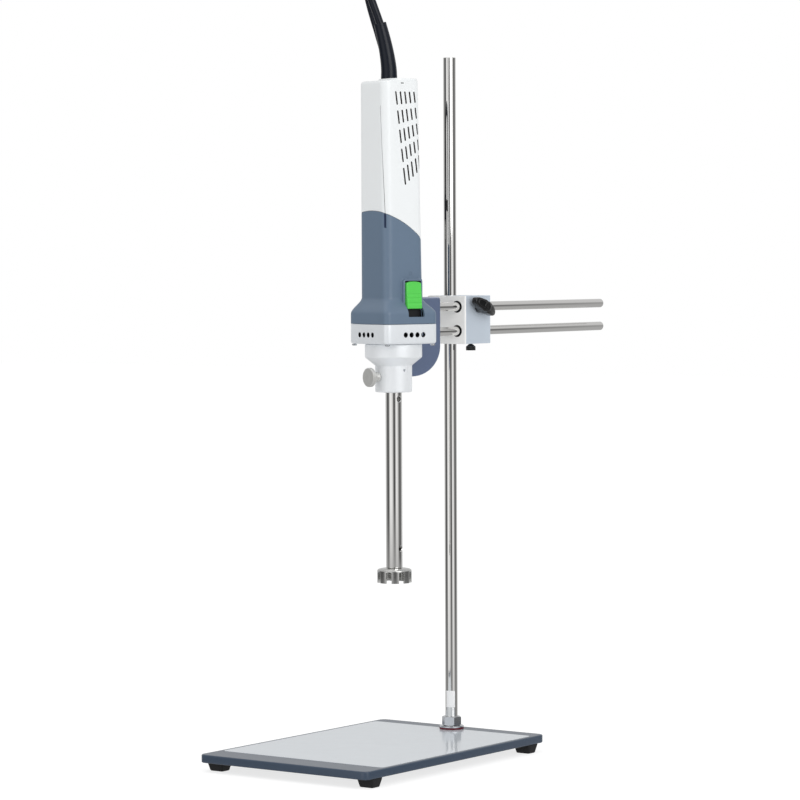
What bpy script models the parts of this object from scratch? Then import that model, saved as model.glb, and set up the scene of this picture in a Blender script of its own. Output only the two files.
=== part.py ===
"""Rotor stator homogenizer on a plate stand: a hand drive held by two chrome rods in a clamp block.

Metres, +Z up. The origin is the centre of the stand's top panel, on its upper face. The stand's long
side runs along Y with the column near its +Y end; the drive hangs over the plate, turned a little
about its own vertical axis. Pieces of the drive hang under the empty drive_frame, whose +X face
carries the switch and the air slots.
"""

import math

import bpy
import bmesh
from mathutils import Matrix, Vector

# Clearance between pieces that meet
GAP = 0.0003

# Base plate and what stands on it
PLATE_LENGTH = 0.300
PLATE_WIDTH = 0.200
PLATE_THICKNESS = 0.008
PLATE_CORNER = 0.007
PLATE_EDGE = 0.0012
PANEL_THICKNESS = 0.0015
PANEL_MARGIN_SIDE = 0.0045
PANEL_MARGIN_FRONT = 0.031
PANEL_MARGIN_BACK = 0.019
PANEL_CORNER = 0.004
FOOT_HEIGHT = 0.009
FOOT_TOP = (0.019, 0.016)
FOOT_BOTTOM = (0.0155, 0.0123)
FOOT_INSET_SIDE = 0.0107
FOOT_INSET_END = 0.0191

# Column and its fixings
COLUMN_RADIUS = 0.00625
COLUMN_INSET = 0.0196
COLUMN_Y = PLATE_LENGTH / 2 - COLUMN_INSET
COLUMN_TOP = 0.674
WASHER_RADIUS = 0.01225
GASKET_THICKNESS = 0.0012
WASHER_THICKNESS = 0.0015
NUT_ACROSS_FLATS = 0.0185
NUT_HEIGHT = 0.009

# Clamp block with its guide bush
BLOCK_X = (-0.012, 0.034)
BLOCK_Y = (COLUMN_Y - 0.0225, COLUMN_Y + 0.0225)
BLOCK_Z = (0.3885, 0.4364)
BLOCK_EDGE = 0.0006
BUSH_WALL = 0.0012
BUSH_FLANGE_RADIUS = 0.0095
BUSH_FLANGE_THICKNESS = 0.0015
BUSH_SLOT = 0.0016

# Support rods
ROD_RADIUS = 0.0045
ROD_X = 0.0238
ROD_UPPER_Z = 0.4255
ROD_PITCH = 0.0241
ROD_START_Y = 0.056
ROD_END_Y = 0.3728
ROD_CHAMFER = 0.0006

# Star knobs and the small lock screw
KNOB_RADIUS = 0.0155
KNOB_VALLEY = 0.0102
KNOB_LOBES = 4
KNOB_LOBE_POINTS = 6
KNOB_THICKNESS = 0.0085
KNOB_EDGE = 0.0012
KNOB_HUB_RADIUS = 0.0065
KNOB_HUB_LENGTH = 0.0035
STUD_RADIUS = 0.0025
COLUMN_KNOB_Z = 0.4125
LOCK_HEAD_RADIUS = 0.0045
LOCK_HEAD_LENGTH = 0.0042
LOCK_CONE_LENGTH = 0.0024
LOCK_Y = COLUMN_Y + 0.0016

# Bracket between the rods and the drive
BRACKET_THICKNESS = 0.016
BRACKET_BACK_Y = 0.0685
BRACKET_TOP_Z = 0.4358
BRACKET_BOTTOM_Z = 0.359
BRACKET_CURVE = (0.043, 0.0285)
BRACKET_BEVEL = 0.0018
SCREW_RADIUS = 0.002
SCREW_HEAD_RADIUS = 0.0035
SCREW_HEAD_LENGTH = 0.004
BRACKET_SCREW_SINK = 0.0055

# Drive: place, turn and the levels of its pieces
DRIVE_X = 0.024
DRIVE_TURN = math.radians(-17.8)
BODY_TOP_Z = 0.6444
CAP_HEIGHT = 0.0023
BODY_LOW = 0.02405
BODY_HIGH_BOTTOM = 0.0221
BODY_HIGH_TOP = 0.0196
BODY_CORNER = 0.008
BODY_WALL = 0.0025
BODY_TOP_EDGE = 0.0015
CAP_LOW = 0.012
NOTCH_Y = -0.005
NOTCH_WIDTH = 0.0028
NOTCH_HEIGHT = 0.0012
NOTCH_DEPTH = 0.0015
CAP_CORNER = 0.0092
FLARE_TOP_Z = 0.4353
FLARE_BOTTOM_Z = 0.4227
RING_TOP_Z = 0.4105
RING_BOTTOM_Z = 0.3915
RING_HALF = 0.0312
RING_CORNER = 0.006
RING_WALL = 0.003
RING_INNER_CORNER = 0.012
RING_VENT_RADIUS = 0.00245
RING_VENT_PITCH = 0.007
RING_VENT_COUNT = 4
RING_VENT_Z = 0.4003
RING_VENT_SHIFT = 0.0026
RING_SCREW_SPREAD = 0.027
RING_SCREW_HEAD = 0.0024

# Seam between the white and the grey shell: one arc over each face
SEAM_CROWN_Z = 0.520
SEAM_RADIUS = 0.095
SEAM_CENTRE_SHIFT = 0.023
SEAM_CURVE_X = 0.190
SEAM_X_SHIFT = 0.003

# Air slots: columns lean and their pitch shrinks towards the back
SLOT_COLUMNS = 5
SLOT_ROWS = 5
SLOT_WIDTH = 0.0018
SLOT_TOP_Z = 0.634
SLOT_PITCH = 0.0183
SLOT_LENGTH = 0.013
SLOT_SHRINK = 0.0425
SLOT_LAST_STRETCH = 1.25
SLOT_FIRST_Y = -0.0105
SLOT_SPACING = 0.0054
SLOT_LEAN = 0.115

# Slide switch in its raised pad
SWITCH_Y = 0.0049
SWITCH_WIDTH = 0.0176
SWITCH_TOP_Z = 0.4516
SWITCH_BOTTOM_Z = 0.4254
SWITCH_ARCH = 0.0022
SWITCH_FACE_TOP = 0.0272
SWITCH_FACE_BOTTOM = 0.0289
SWITCH_GROOVES_Z = (0.4397, 0.4358, 0.431)
SWITCH_GROOVE = 0.0012
SWITCH_TRAVEL = 0.0065
POCKET_FLOOR_X = 0.0235
POCKET_BOTTOM_Z = 0.4175
POCKET_MARGIN = 0.0007
PAD_X = (0.0196, 0.0255)
PAD_MARGIN = 0.003
STEM_SIZE = 0.005

# Nose, generator tube and the screw that holds it
NOSE_RADIUS = 0.0277
NOSE_CONE_TOP_Z = 0.3784
NOSE_CONE_BOTTOM_Z = 0.3704
NECK_RADIUS = 0.0179
NECK_BOTTOM_Z = 0.3446
NOSE_SPIGOT_RADIUS = 0.0167
TUBE_RADIUS = 0.008
TUBE_WALL = 0.0015
TUBE_TOP_Z = 0.376
TUBE_BOTTOM_Z = 0.174
TUBE_HOLE_RADIUS = 0.0025
TUBE_HOLES = ((0.3379, math.radians(6.8)), (0.193, math.radians(17.8)))
COUPLING_RADIUS = 0.0065
CHAMBER_RADIUS = 0.0073
THUMB_Z = 0.3594
THUMB_HEAD_RADIUS = 0.0093
THUMB_HEAD_LENGTH = 0.004
THUMB_COLLAR_RADIUS = 0.0052
THUMB_REACH = 0.0307
PIN_HOLE_RADIUS = 0.00125
PIN_HOLE_Z = 0.366
PIN_HOLE_DEPTH = 0.004

# Workhead
HEAD_RADIUS = 0.0167
HEAD_WALL = 0.0025
HEAD_TOP_Z = 0.1747
HEAD_BOTTOM_Z = 0.1596
HEAD_SLOT_HEIGHT = 0.012
HEAD_LEGS = 8
HEAD_LEG_WIDTH = 0.0054
HEAD_FIRST_LEG = math.radians(-33.4)
HEAD_SPIGOT_LENGTH = 0.008
ROTOR_CLEARANCE = 0.0006
ROTOR_BLADES = 4
ROTOR_BLADE_WIDTH = 0.003
ROTOR_HEIGHT = 0.0095
ROTOR_HUB_RADIUS = 0.0045

# Motor inside the shells
SHAFT_RADIUS = 0.0025
SPINDLE_RADIUS = 0.004
SPINDLE_BOTTOM_Z = 0.3815
BEARING_RADIUS = 0.011
BEARING_WIDTH = 0.007
FAN_RADIUS = 0.0255
FAN_Z = 0.3965
FAN_HEIGHT = 0.0105
FAN_BLADES = 9
FAN_DISC = 0.0015
FAN_HUB_RADIUS = 0.008
FIELD_Z = (0.4525, 0.497)
FIELD_BORE = 0.0128
ARMATURE_RADIUS = 0.012
ARMATURE_SLOTS = 12
ARMATURE_SLOT_DEPTH = 0.004
ARMATURE_SLOT_WIDTH = 0.0018
COMMUTATOR_RADIUS = 0.0075
BRUSH_SIZE = (0.005, 0.006)
BRUSH_LENGTH = 0.007
HOLDER_WALL = 0.0012
BRIDGE_RISE = 0.040
BRIDGE_Z = FIELD_Z[1] + BRIDGE_RISE
COMMUTATOR_Z = (BRIDGE_Z - 0.018, BRIDGE_Z - 0.004)
BRIDGE_THICKNESS = 0.003
BEARING_CUP_WALL = 0.002
BOARD_DROP = 0.0444
BOARD_Z = BODY_TOP_Z - BOARD_DROP
BOARD_THICKNESS = 0.0016
BLOCK_SWITCH_SIZE = (0.009, 0.012, 0.022)

# Speed dial under the cap
DIAL_RADIUS = 0.0078
DIAL_WIDTH = 0.004
DIAL_Y = 0.0085
DIAL_RISE = 0.0006
DIAL_AXLE_RADIUS = 0.0015
DIAL_TEETH = 20
POT_DEPTH = 0.004
POT_WIDTH = 0.009

# Strain relief and mains lead; the route's offsets are left, away and up as seen from the switch side
BOOT_RADIUS = 0.0079
BOOT_TIP_RADIUS = 0.0054
BOOT_Y = -0.004
BOOT_SPIGOT_RADIUS = 0.006
BOOT_SPIGOT_LENGTH = 0.003
BOOT_BEND = 1.5
VIEW_TURN = math.radians(35.8)
CORD_RADIUS = 0.00375
CORD_STEP = 0.017
ROUTE = (
    (0.0102, 0.0000, 0.0535),
    (0.0180, 0.0010, 0.0780),
    (0.0240, 0.0100, 0.1000),
    (0.0275, 0.0300, 0.1150),
    (0.0285, 0.0520, 0.1200),
    (0.0275, 0.0740, 0.1150),
    (0.0240, 0.0940, 0.1000),
    (0.0183, 0.1035, 0.0760),
    (0.0108, 0.1045, 0.0500),
    (0.0055, 0.1040, 0.0300),
    (0.0038, 0.1040, 0.0100),
)
HANK_WIDTH = 0.0675
HANK_LENGTH = 0.2175
HANK_THICKNESS = 0.0155
HANK_AWAY = 0.074
HANK_TOP_Z = 0.640
TIE_WIDTH = 0.010
TIE_THICKNESS = 0.0012
PLUG_RADIUS = 0.018
PLUG_LENGTH = 0.034
PLUG_NECK = 0.014
PLUG_ACROSS = 0.055
PLUG_TOP_Z = 0.548
TAIL_TOP_Z = 0.596
TAIL_STEPS = 6
PIN_RADIUS = 0.0024
PIN_LENGTH = 0.019
PIN_SPREAD = 0.0095
PLUG_SIDE = CORD_RADIUS

# Roundness of turned pieces
SIDE_POINTS = 4
FINE = 26
ROUND = 20
MEDIUM = 14
SMALL = 8
VENT_SIDES = 6

COLOURS = {
    "slate_paint": ((0.058, 0.082, 0.115), 0.45, 0.0),
    "panel_grey": ((0.65, 0.68, 0.71), 0.2, 0.0),
    "rubber": ((0.012, 0.012, 0.014), 0.7, 0.0),
    "chrome": ((0.80, 0.80, 0.80), 0.08, 1.0),
    "steel": ((0.60, 0.60, 0.58), 0.25, 1.0),
    "aluminium": ((0.72, 0.74, 0.76), 0.35, 1.0),
    "gasket_red": ((0.20, 0.012, 0.012), 0.6, 0.0),
    "bracket_blue": ((0.115, 0.138, 0.250), 0.4, 0.0),
    "housing_white": ((0.86, 0.87, 0.88), 0.3, 0.0),
    "housing_grey": ((0.150, 0.202, 0.278), 0.4, 0.0),
    "switch_green": ((0.105, 0.665, 0.105), 0.35, 0.0),
    "black_plastic": ((0.010, 0.011, 0.014), 0.35, 0.0),
    "copper": ((0.72, 0.30, 0.14), 0.3, 1.0),
    "board_green": ((0.02, 0.12, 0.05), 0.5, 0.0),
    "ptfe": ((0.80, 0.80, 0.76), 0.5, 0.0),
}


def material(name):
    """The named finish as a Principled material, made once."""
    found = bpy.data.materials.get(name)
    if found:
        return found
    colour, roughness, metallic = COLOURS[name]
    made = bpy.data.materials.new(name)
    made.use_nodes = True
    shader = made.node_tree.nodes["Principled BSDF"]
    shader.inputs["Base Color"].default_value = (*colour, 1.0)
    shader.inputs["Roughness"].default_value = roughness
    shader.inputs["Metallic"].default_value = metallic
    made.diffuse_color = (*colour, 1.0)
    return made


def empty(name, parent=None, place=(0, 0, 0), turn=(0, 0, 0)):
    """A frame that pieces hang under."""
    made = bpy.data.objects.new(name, None)
    made.empty_display_size = 0.02
    bpy.context.scene.collection.objects.link(made)
    made.parent = parent
    made.location = place
    made.rotation_euler = turn
    return made


def add(name, shape, finish, parent=None, place=(0, 0, 0), turn=(0, 0, 0)):
    """A bmesh as a named object with its finish, faces turned outwards and round sides smooth."""
    bmesh.ops.recalc_face_normals(shape, faces=shape.faces)
    mesh = bpy.data.meshes.new(name)
    shape.to_mesh(mesh)
    shape.free()
    mesh.materials.append(material(finish))
    mesh.shade_smooth()
    mesh.set_sharp_from_angle(angle=math.radians(35))
    made = bpy.data.objects.new(name, mesh)
    bpy.context.scene.collection.objects.link(made)
    made.parent = parent
    made.location = place
    made.rotation_euler = turn
    return made


def circle(radius, count, centre=(0.0, 0.0), start=0.0, sweep=math.tau):
    """Points on an arc; a full circle leaves out the repeated last point."""
    last = count if sweep == math.tau else count - 1
    return [
        (
            centre[0] + radius * math.cos(start + sweep * k / last),
            centre[1] + radius * math.sin(start + sweep * k / last),
        )
        for k in range(count)
    ]


def rounded(low, high, radius, sides=1, arcs=3):
    """A rectangle with round corners, counter-clockwise; each straight side holds extra points."""
    (x0, y0), (x1, y1) = low, high
    centres = (
        (x1 - radius, y1 - radius),
        (x0 + radius, y1 - radius),
        (x0 + radius, y0 + radius),
        (x1 - radius, y0 + radius),
    )
    corners = [
        circle(radius, arcs + 1, centre, math.radians(90 * k), math.radians(90))
        for k, centre in enumerate(centres)
    ]
    outline = []
    for k, corner in enumerate(corners):
        outline += corner
        (ax, ay), (bx, by) = corner[-1], corners[(k + 1) % 4][0]
        outline += [
            (ax + (bx - ax) * step / sides, ay + (by - ay) * step / sides)
            for step in range(1, sides)
        ]
    return outline


def loft(rings, closed=False):
    """Rings of equally many points joined in order, capped at both ends unless closed on itself."""
    shape = bmesh.new()
    rows = [[shape.verts.new(point) for point in ring] for ring in rings]
    count = len(rows[0])
    pairs = list(zip(rows, rows[1:]))
    if closed:
        pairs.append((rows[-1], rows[0]))
    for first, second in pairs:
        for k in range(count):
            after = (k + 1) % count
            shape.faces.new((first[k], first[after], second[after], second[k]))
    if not closed:
        shape.faces.new(rows[0][::-1])
        shape.faces.new(rows[-1])
    return shape


def level(outline, height):
    """A flat outline as points at one height."""
    return [(x, y, height) for x, y in outline]


def extrude(outline, axis, start, end):
    """A prism: the outline lies across the axis and runs from start to end along it."""
    def at(point, depth):
        u, v = point
        return {"X": (depth, u, v), "Y": (u, depth, v), "Z": (u, v, depth)}[axis]

    shape = bmesh.new()
    face = shape.faces.new([shape.verts.new(at(point, start)) for point in outline])
    grown = bmesh.ops.extrude_face_region(shape, geom=[face])
    moved = [item for item in grown["geom"] if isinstance(item, bmesh.types.BMVert)]
    bmesh.ops.translate(shape, verts=moved, vec=at((0.0, 0.0), end - start))
    return shape


def box(x, y, z):
    """A block between three pairs of limits."""
    return extrude([(x[0], y[0]), (x[1], y[0]), (x[1], y[1]), (x[0], y[1])], "Z", z[0], z[1])


def turned(profile, steps, closed=True):
    """A closed (radius, height) profile spun about Z; points on the axis become one."""
    shape = bmesh.new()
    points = [shape.verts.new((radius, 0.0, height)) for radius, height in profile]
    edges = [shape.edges.new(pair) for pair in zip(points, points[1:])]
    if closed:
        edges.append(shape.edges.new((points[-1], points[0])))
    bmesh.ops.spin(
        shape, geom=points + edges, cent=(0, 0, 0), axis=(0, 0, 1),
        angle=math.tau, steps=steps, use_merge=True,
    )
    bmesh.ops.remove_doubles(shape, verts=shape.verts, dist=1e-6)
    loose = [edge for edge in shape.edges if not edge.link_faces]
    bmesh.ops.delete(shape, geom=loose, context="EDGES")
    return shape


def solid_turned(profile, steps):
    """A turned solid whose profile starts and ends on the axis."""
    return turned(profile, steps, closed=False)


def merged(*shapes):
    """Several bmeshes in one, for a cutter of many bodies."""
    whole = bmesh.new()
    for shape in shapes:
        mesh = bpy.data.meshes.new("scratch")
        shape.to_mesh(mesh)
        shape.free()
        whole.from_mesh(mesh)
        bpy.data.meshes.remove(mesh)
    return whole


def combine(target, name, shape, operation, parent=None, place=(0, 0, 0), turn=(0, 0, 0)):
    """A boolean of the target with a hidden tool."""
    tool = add(name, shape, "steel", parent, place, turn)
    tool.hide_render = True
    tool.display_type = "WIRE"
    step = target.modifiers.new(name, "BOOLEAN")
    step.operation = operation
    step.solver = "EXACT"
    step.object = tool
    return tool


def cut(target, name, shape, parent=None, place=(0, 0, 0), turn=(0, 0, 0)):
    """Material taken off the target."""
    return combine(target, name, shape, "DIFFERENCE", parent, place, turn)


def join(target, name, shape, parent=None, place=(0, 0, 0), turn=(0, 0, 0)):
    """Material added to the target."""
    return combine(target, name, shape, "UNION", parent, place, turn)


def bevel(target, width, segments=1, angle=30):
    """A rounded or chamfered edge along the target's sharp edges."""
    step = target.modifiers.new("edge", "BEVEL")
    step.width = width
    step.segments = segments
    step.limit_method = "ANGLE"
    step.angle_limit = math.radians(angle)
    return step


def rod(radius, start, end, steps, chamfer=0.0):
    """A round bar along Z with chamfered ends."""
    return solid_turned(
        [
            (0, start), (radius - chamfer, start), (radius, start + chamfer),
            (radius, end - chamfer), (radius - chamfer, end), (0, end),
        ] if chamfer else [(0, start), (radius, start), (radius, end), (0, end)],
        steps,
    )


def ring(inner, outer, start, end, steps):
    """A washer or bush about Z."""
    return turned([(inner, start), (outer, start), (outer, end), (inner, end)], steps)


def add_base():
    """Plate with a sunk panel, four rubber feet, the column and its nut and washers."""
    half_x, half_y = PLATE_WIDTH / 2, PLATE_LENGTH / 2
    plate_top = -GAP / 3
    plate = add(
        "base_plate",
        loft([
            level(rounded((-half_x + e, -half_y + e), (half_x - e, half_y - e), PLATE_CORNER - e), z)
            for e, z in (
                (PLATE_EDGE, plate_top - PLATE_THICKNESS),
                (0.0, plate_top - PLATE_THICKNESS + PLATE_EDGE),
                (0.0, plate_top - PLATE_EDGE),
                (PLATE_EDGE, plate_top),
            )
        ]),
        "slate_paint",
    )
    low = (-half_x + PANEL_MARGIN_SIDE, -half_y + PANEL_MARGIN_FRONT)
    high = (half_x - PANEL_MARGIN_SIDE, half_y - PANEL_MARGIN_BACK)
    outline = rounded(low, high, PANEL_CORNER)
    recess = rounded((low[0] - GAP, low[1] - GAP), (high[0] + GAP, high[1] + GAP), PANEL_CORNER)
    cut(plate, "panel_recess", extrude(recess, "Z", -PANEL_THICKNESS - GAP, PLATE_EDGE))
    panel = add("top_panel", extrude(outline, "Z", -PANEL_THICKNESS, 0.0), "panel_grey")

    through = (-PLATE_THICKNESS - GAP - PLATE_EDGE, PLATE_EDGE)
    for piece in (plate, panel):
        hole = rod(COLUMN_RADIUS + GAP, *through, ROUND)
        cut(piece, f"{piece.name}_hole", hole, place=(0, COLUMN_Y, 0))

    for name, side_x, side_y in (
        ("foot_front_left", -1, -1),
        ("foot_front_right", 1, -1),
        ("foot_back_left", -1, 1),
        ("foot_back_right", 1, 1),
    ):
        top = plate_top - PLATE_THICKNESS - GAP
        rings = [
            level(rounded((-w / 2, -d / 2), (w / 2, d / 2), 0.0015, arcs=2), z)
            for (w, d), z in ((FOOT_BOTTOM, top - FOOT_HEIGHT + GAP), (FOOT_TOP, top))
        ]
        centre = (side_x * (half_x - FOOT_INSET_SIDE), side_y * (half_y - FOOT_INSET_END), 0)
        add(name, loft(rings), "rubber", place=centre)

    column_frame = empty("column_frame", place=(0, COLUMN_Y, 0))
    bottom = plate_top - PLATE_THICKNESS + PLATE_EDGE
    add("column", rod(COLUMN_RADIUS, bottom, COLUMN_TOP, ROUND, ROD_CHAMFER), "chrome", column_frame)
    bore = COLUMN_RADIUS + GAP
    gasket_top = GAP + GASKET_THICKNESS
    washer_top = gasket_top + GAP + WASHER_THICKNESS
    nut_bottom = washer_top + GAP
    add("column_gasket", ring(bore, WASHER_RADIUS, GAP, gasket_top, ROUND), "gasket_red", column_frame)
    washer = ring(bore, WASHER_RADIUS, gasket_top + GAP, washer_top, ROUND)
    add("column_washer", washer, "steel", column_frame)
    corner = NUT_ACROSS_FLATS / 2 / math.cos(math.pi / 6)
    hexagon = circle(corner, 6, start=math.radians(20))
    nut = add("column_nut", extrude(hexagon, "Z", nut_bottom, nut_bottom + NUT_HEIGHT), "steel", column_frame)
    cut(nut, "nut_bore", rod(bore, nut_bottom - GAP, nut_bottom + 2 * NUT_HEIGHT, ROUND), column_frame)
    shoulder = NUT_ACROSS_FLATS / 2 * 1.02
    crown = turned(
        [
            (shoulder, nut_bottom + NUT_HEIGHT + 0.001),
            (shoulder, nut_bottom + NUT_HEIGHT - 0.0001),
            (corner * 1.1, nut_bottom + NUT_HEIGHT - 0.0015),
            (corner * 1.1, nut_bottom + NUT_HEIGHT + 0.001),
        ],
        ROUND,
    )
    cut(nut, "nut_crown", crown, column_frame)
    return column_frame


def star_outline():
    """A lobed outline: round lobes with shallow valleys between them."""
    outline = []
    count = KNOB_LOBES * KNOB_LOBE_POINTS
    for k in range(count):
        angle = math.tau * k / count
        swell = 0.5 + 0.5 * math.cos(KNOB_LOBES * angle)
        radius = KNOB_VALLEY + (KNOB_RADIUS - KNOB_VALLEY) * swell ** 0.8
        outline.append((radius * math.cos(angle), radius * math.sin(angle)))
    return outline


def add_knob(name, place, turn, reach):
    """A star knob standing on a face at its frame's origin, with a stud that reaches inwards."""
    frame = empty(f"{name}_frame", place=place, turn=turn)
    star = extrude(star_outline(), "Z", KNOB_HUB_LENGTH, KNOB_HUB_LENGTH + KNOB_THICKNESS)
    knob = add(name, star, "black_plastic", frame)
    bevel(knob, KNOB_EDGE)
    hub = solid_turned(
        [
            (0, GAP), (KNOB_HUB_RADIUS, GAP), (KNOB_HUB_RADIUS, KNOB_HUB_LENGTH + 0.001),
            (KNOB_HUB_RADIUS - 0.001, KNOB_HUB_LENGTH + KNOB_THICKNESS + 0.0012),
            (0, KNOB_HUB_LENGTH + KNOB_THICKNESS + 0.0012),
        ],
        MEDIUM,
    )
    join(knob, f"{name}_hub", hub, frame)
    join(knob, f"{name}_stud", rod(STUD_RADIUS, -reach, KNOB_HUB_LENGTH, SMALL), frame)
    return knob


def add_clamp(column_frame):
    """Block on the column's guide bush, bored for both rods, with its knobs and lock screw."""
    block = add("clamp_block", box(BLOCK_X, BLOCK_Y, BLOCK_Z), "aluminium")
    bevel(block, BLOCK_EDGE)
    bush_inner = COLUMN_RADIUS + GAP
    bush_outer = bush_inner + BUSH_WALL
    flange_top = BLOCK_Z[0] + BUSH_FLANGE_THICKNESS
    seat = turned(
        [
            (0, BLOCK_Z[0] - 0.002), (BUSH_FLANGE_RADIUS + GAP, BLOCK_Z[0] - 0.002),
            (BUSH_FLANGE_RADIUS + GAP, flange_top + GAP), (bush_outer + GAP, flange_top + GAP),
            (bush_outer + GAP, BLOCK_Z[1] + 0.002), (0, BLOCK_Z[1] + 0.002),
        ],
        ROUND, closed=False,
    )
    cut(block, "bush_seat", seat, column_frame)
    bush = turned(
        [
            (bush_inner, BLOCK_Z[0]), (BUSH_FLANGE_RADIUS, BLOCK_Z[0]),
            (BUSH_FLANGE_RADIUS, flange_top), (bush_outer, flange_top),
            (bush_outer, BLOCK_Z[1]), (bush_inner, BLOCK_Z[1]),
        ],
        ROUND,
    )
    guide = add("guide_bush", bush, "ptfe", column_frame)
    slot = box((-BUSH_SLOT / 2, BUSH_SLOT / 2), (0.0, 0.02), (BLOCK_Z[0] - 0.002, BLOCK_Z[1] + 0.002))
    cut(guide, "bush_slot", slot, column_frame)

    lower_z = ROD_UPPER_Z - ROD_PITCH
    for name, height in (("upper_bore", ROD_UPPER_Z), ("lower_bore", lower_z)):
        bore = rod(ROD_RADIUS + GAP, BLOCK_Y[0] - 0.002, BLOCK_Y[1] + 0.002, ROUND)
        cut(block, name, bore, place=(ROD_X, 0, height), turn=(math.radians(-90), 0, 0))

    middle_y = (BLOCK_Y[0] + BLOCK_Y[1]) / 2
    rod_reach = BLOCK_X[1] - ROD_X - ROD_RADIUS - GAP
    face = (BLOCK_X[1], middle_y, ROD_UPPER_Z)
    add_knob("rod_clamp_knob", face, (0, math.radians(90), 0), rod_reach)
    stud_hole = rod(STUD_RADIUS + GAP, -rod_reach - 0.002, 0.002, SMALL)
    cut(block, "rod_stud_hole", stud_hole, place=face, turn=(0, math.radians(90), 0))

    face = (BLOCK_X[0], COLUMN_Y, COLUMN_KNOB_Z)
    column_reach = -BLOCK_X[0] - bush_outer - GAP
    add_knob("column_clamp_knob", face, (0, math.radians(-90), 0), column_reach)
    stud_hole = rod(STUD_RADIUS + GAP, -column_reach - 0.0015, 0.002, SMALL)
    cut(block, "column_stud_hole", stud_hole, place=face, turn=(0, math.radians(-90), 0))

    place = (ROD_X, LOCK_Y, BLOCK_Z[0])
    reach = lower_z - ROD_RADIUS - GAP - BLOCK_Z[0]
    head_top = -GAP - LOCK_CONE_LENGTH
    lock = solid_turned(
        [
            (0, head_top - LOCK_HEAD_LENGTH), (LOCK_HEAD_RADIUS, head_top - LOCK_HEAD_LENGTH),
            (LOCK_HEAD_RADIUS, head_top), (STUD_RADIUS + 0.0004, -GAP), (STUD_RADIUS, -GAP),
            (STUD_RADIUS, reach), (0, reach),
        ],
        MEDIUM,
    )
    add("rod_lock_screw", lock, "black_plastic", place=place)
    cut(block, "lock_hole", rod(STUD_RADIUS + GAP, -0.002, reach + 0.002, SMALL), place=place)


def drive_outline(height, inset=0.0, low_edge=0.0, sides=SIDE_POINTS):
    """Section of the drive's shells, turned by its pieces' frame; two faces taper upwards."""
    share = max(0.0, (height - FLARE_TOP_Z) / (BODY_TOP_Z - FLARE_TOP_Z))
    high = BODY_HIGH_BOTTOM + (BODY_HIGH_TOP - BODY_HIGH_BOTTOM) * share - inset
    low = -BODY_LOW + inset + low_edge
    return rounded((low, low), (high, high), BODY_CORNER - inset, sides)


def square_outline(half, corner):
    """Section of the flange ring."""
    return rounded((-half, -half), (half, half), corner)


def seam_height(x, y):
    """Height of the seam between the shells over a point of the section."""
    along = y + BODY_LOW + 0.001 + SEAM_CENTRE_SHIFT
    crown = math.sqrt(SEAM_RADIUS ** 2 - SEAM_CENTRE_SHIFT ** 2)
    drop = crown - math.sqrt(SEAM_RADIUS ** 2 - along ** 2)
    return SEAM_CROWN_Z - (x + SEAM_X_SHIFT) ** 2 / SEAM_CURVE_X - drop


def seam_ring(inset, shift):
    """The section's points at the seam, moved up or down by half the gap."""
    outline = drive_outline(SEAM_CROWN_Z - 0.010, inset)
    return [(x, y, seam_height(x, y) + shift) for x, y in outline]


def flare_share(height):
    """How far the concave flare has grown from the shell to the ring: a power of the depth."""
    share = min(1.0, max(0.0, (FLARE_TOP_Z - height) / (FLARE_TOP_Z - FLARE_BOTTOM_Z)))
    return share ** 1.35


def flare_outline(height, inset):
    """Section of the flare: the shell's section grown into the ring's square."""
    share = flare_share(height)
    high = BODY_HIGH_BOTTOM + (RING_HALF - BODY_HIGH_BOTTOM) * share - inset
    low = -BODY_LOW - (RING_HALF - BODY_LOW) * share + inset
    corner = BODY_CORNER + (RING_CORNER - BODY_CORNER) * share - inset
    return rounded((low, low), (high, high), corner, SIDE_POINTS)


def slot_cutter(x0, x1):
    """All air slots of one face: leaning columns of round-ended slots."""
    bodies = []
    for column in range(SLOT_COLUMNS):
        shrink = 1.0 - SLOT_SHRINK * column
        for row in range(SLOT_ROWS):
            length = SLOT_LENGTH * shrink * (SLOT_LAST_STRETCH if row == SLOT_ROWS - 1 else 1.0)
            top = SLOT_TOP_Z - SLOT_PITCH * shrink * row
            y = SLOT_FIRST_Y + SLOT_SPACING * column + SLOT_LEAN * shrink * (SLOT_TOP_Z - top)
            half = SLOT_WIDTH / 2
            lean = SLOT_LEAN * length
            outline = circle(half, 4, (y, top - half), 0.0, math.pi)
            outline += circle(half, 4, (y + lean, top - length + half), math.pi, math.pi)
            bodies.append(extrude(outline, "X", x0, x1))
    return merged(*bodies)


def dial_centre():
    """The dial's place across the drive and its height: just inside the wall, just above the cap."""
    height = BODY_TOP_Z + CAP_HEIGHT + DIAL_RISE - DIAL_RADIUS
    return BODY_HIGH_TOP - BODY_WALL - GAP - DIAL_RADIUS, height


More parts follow.
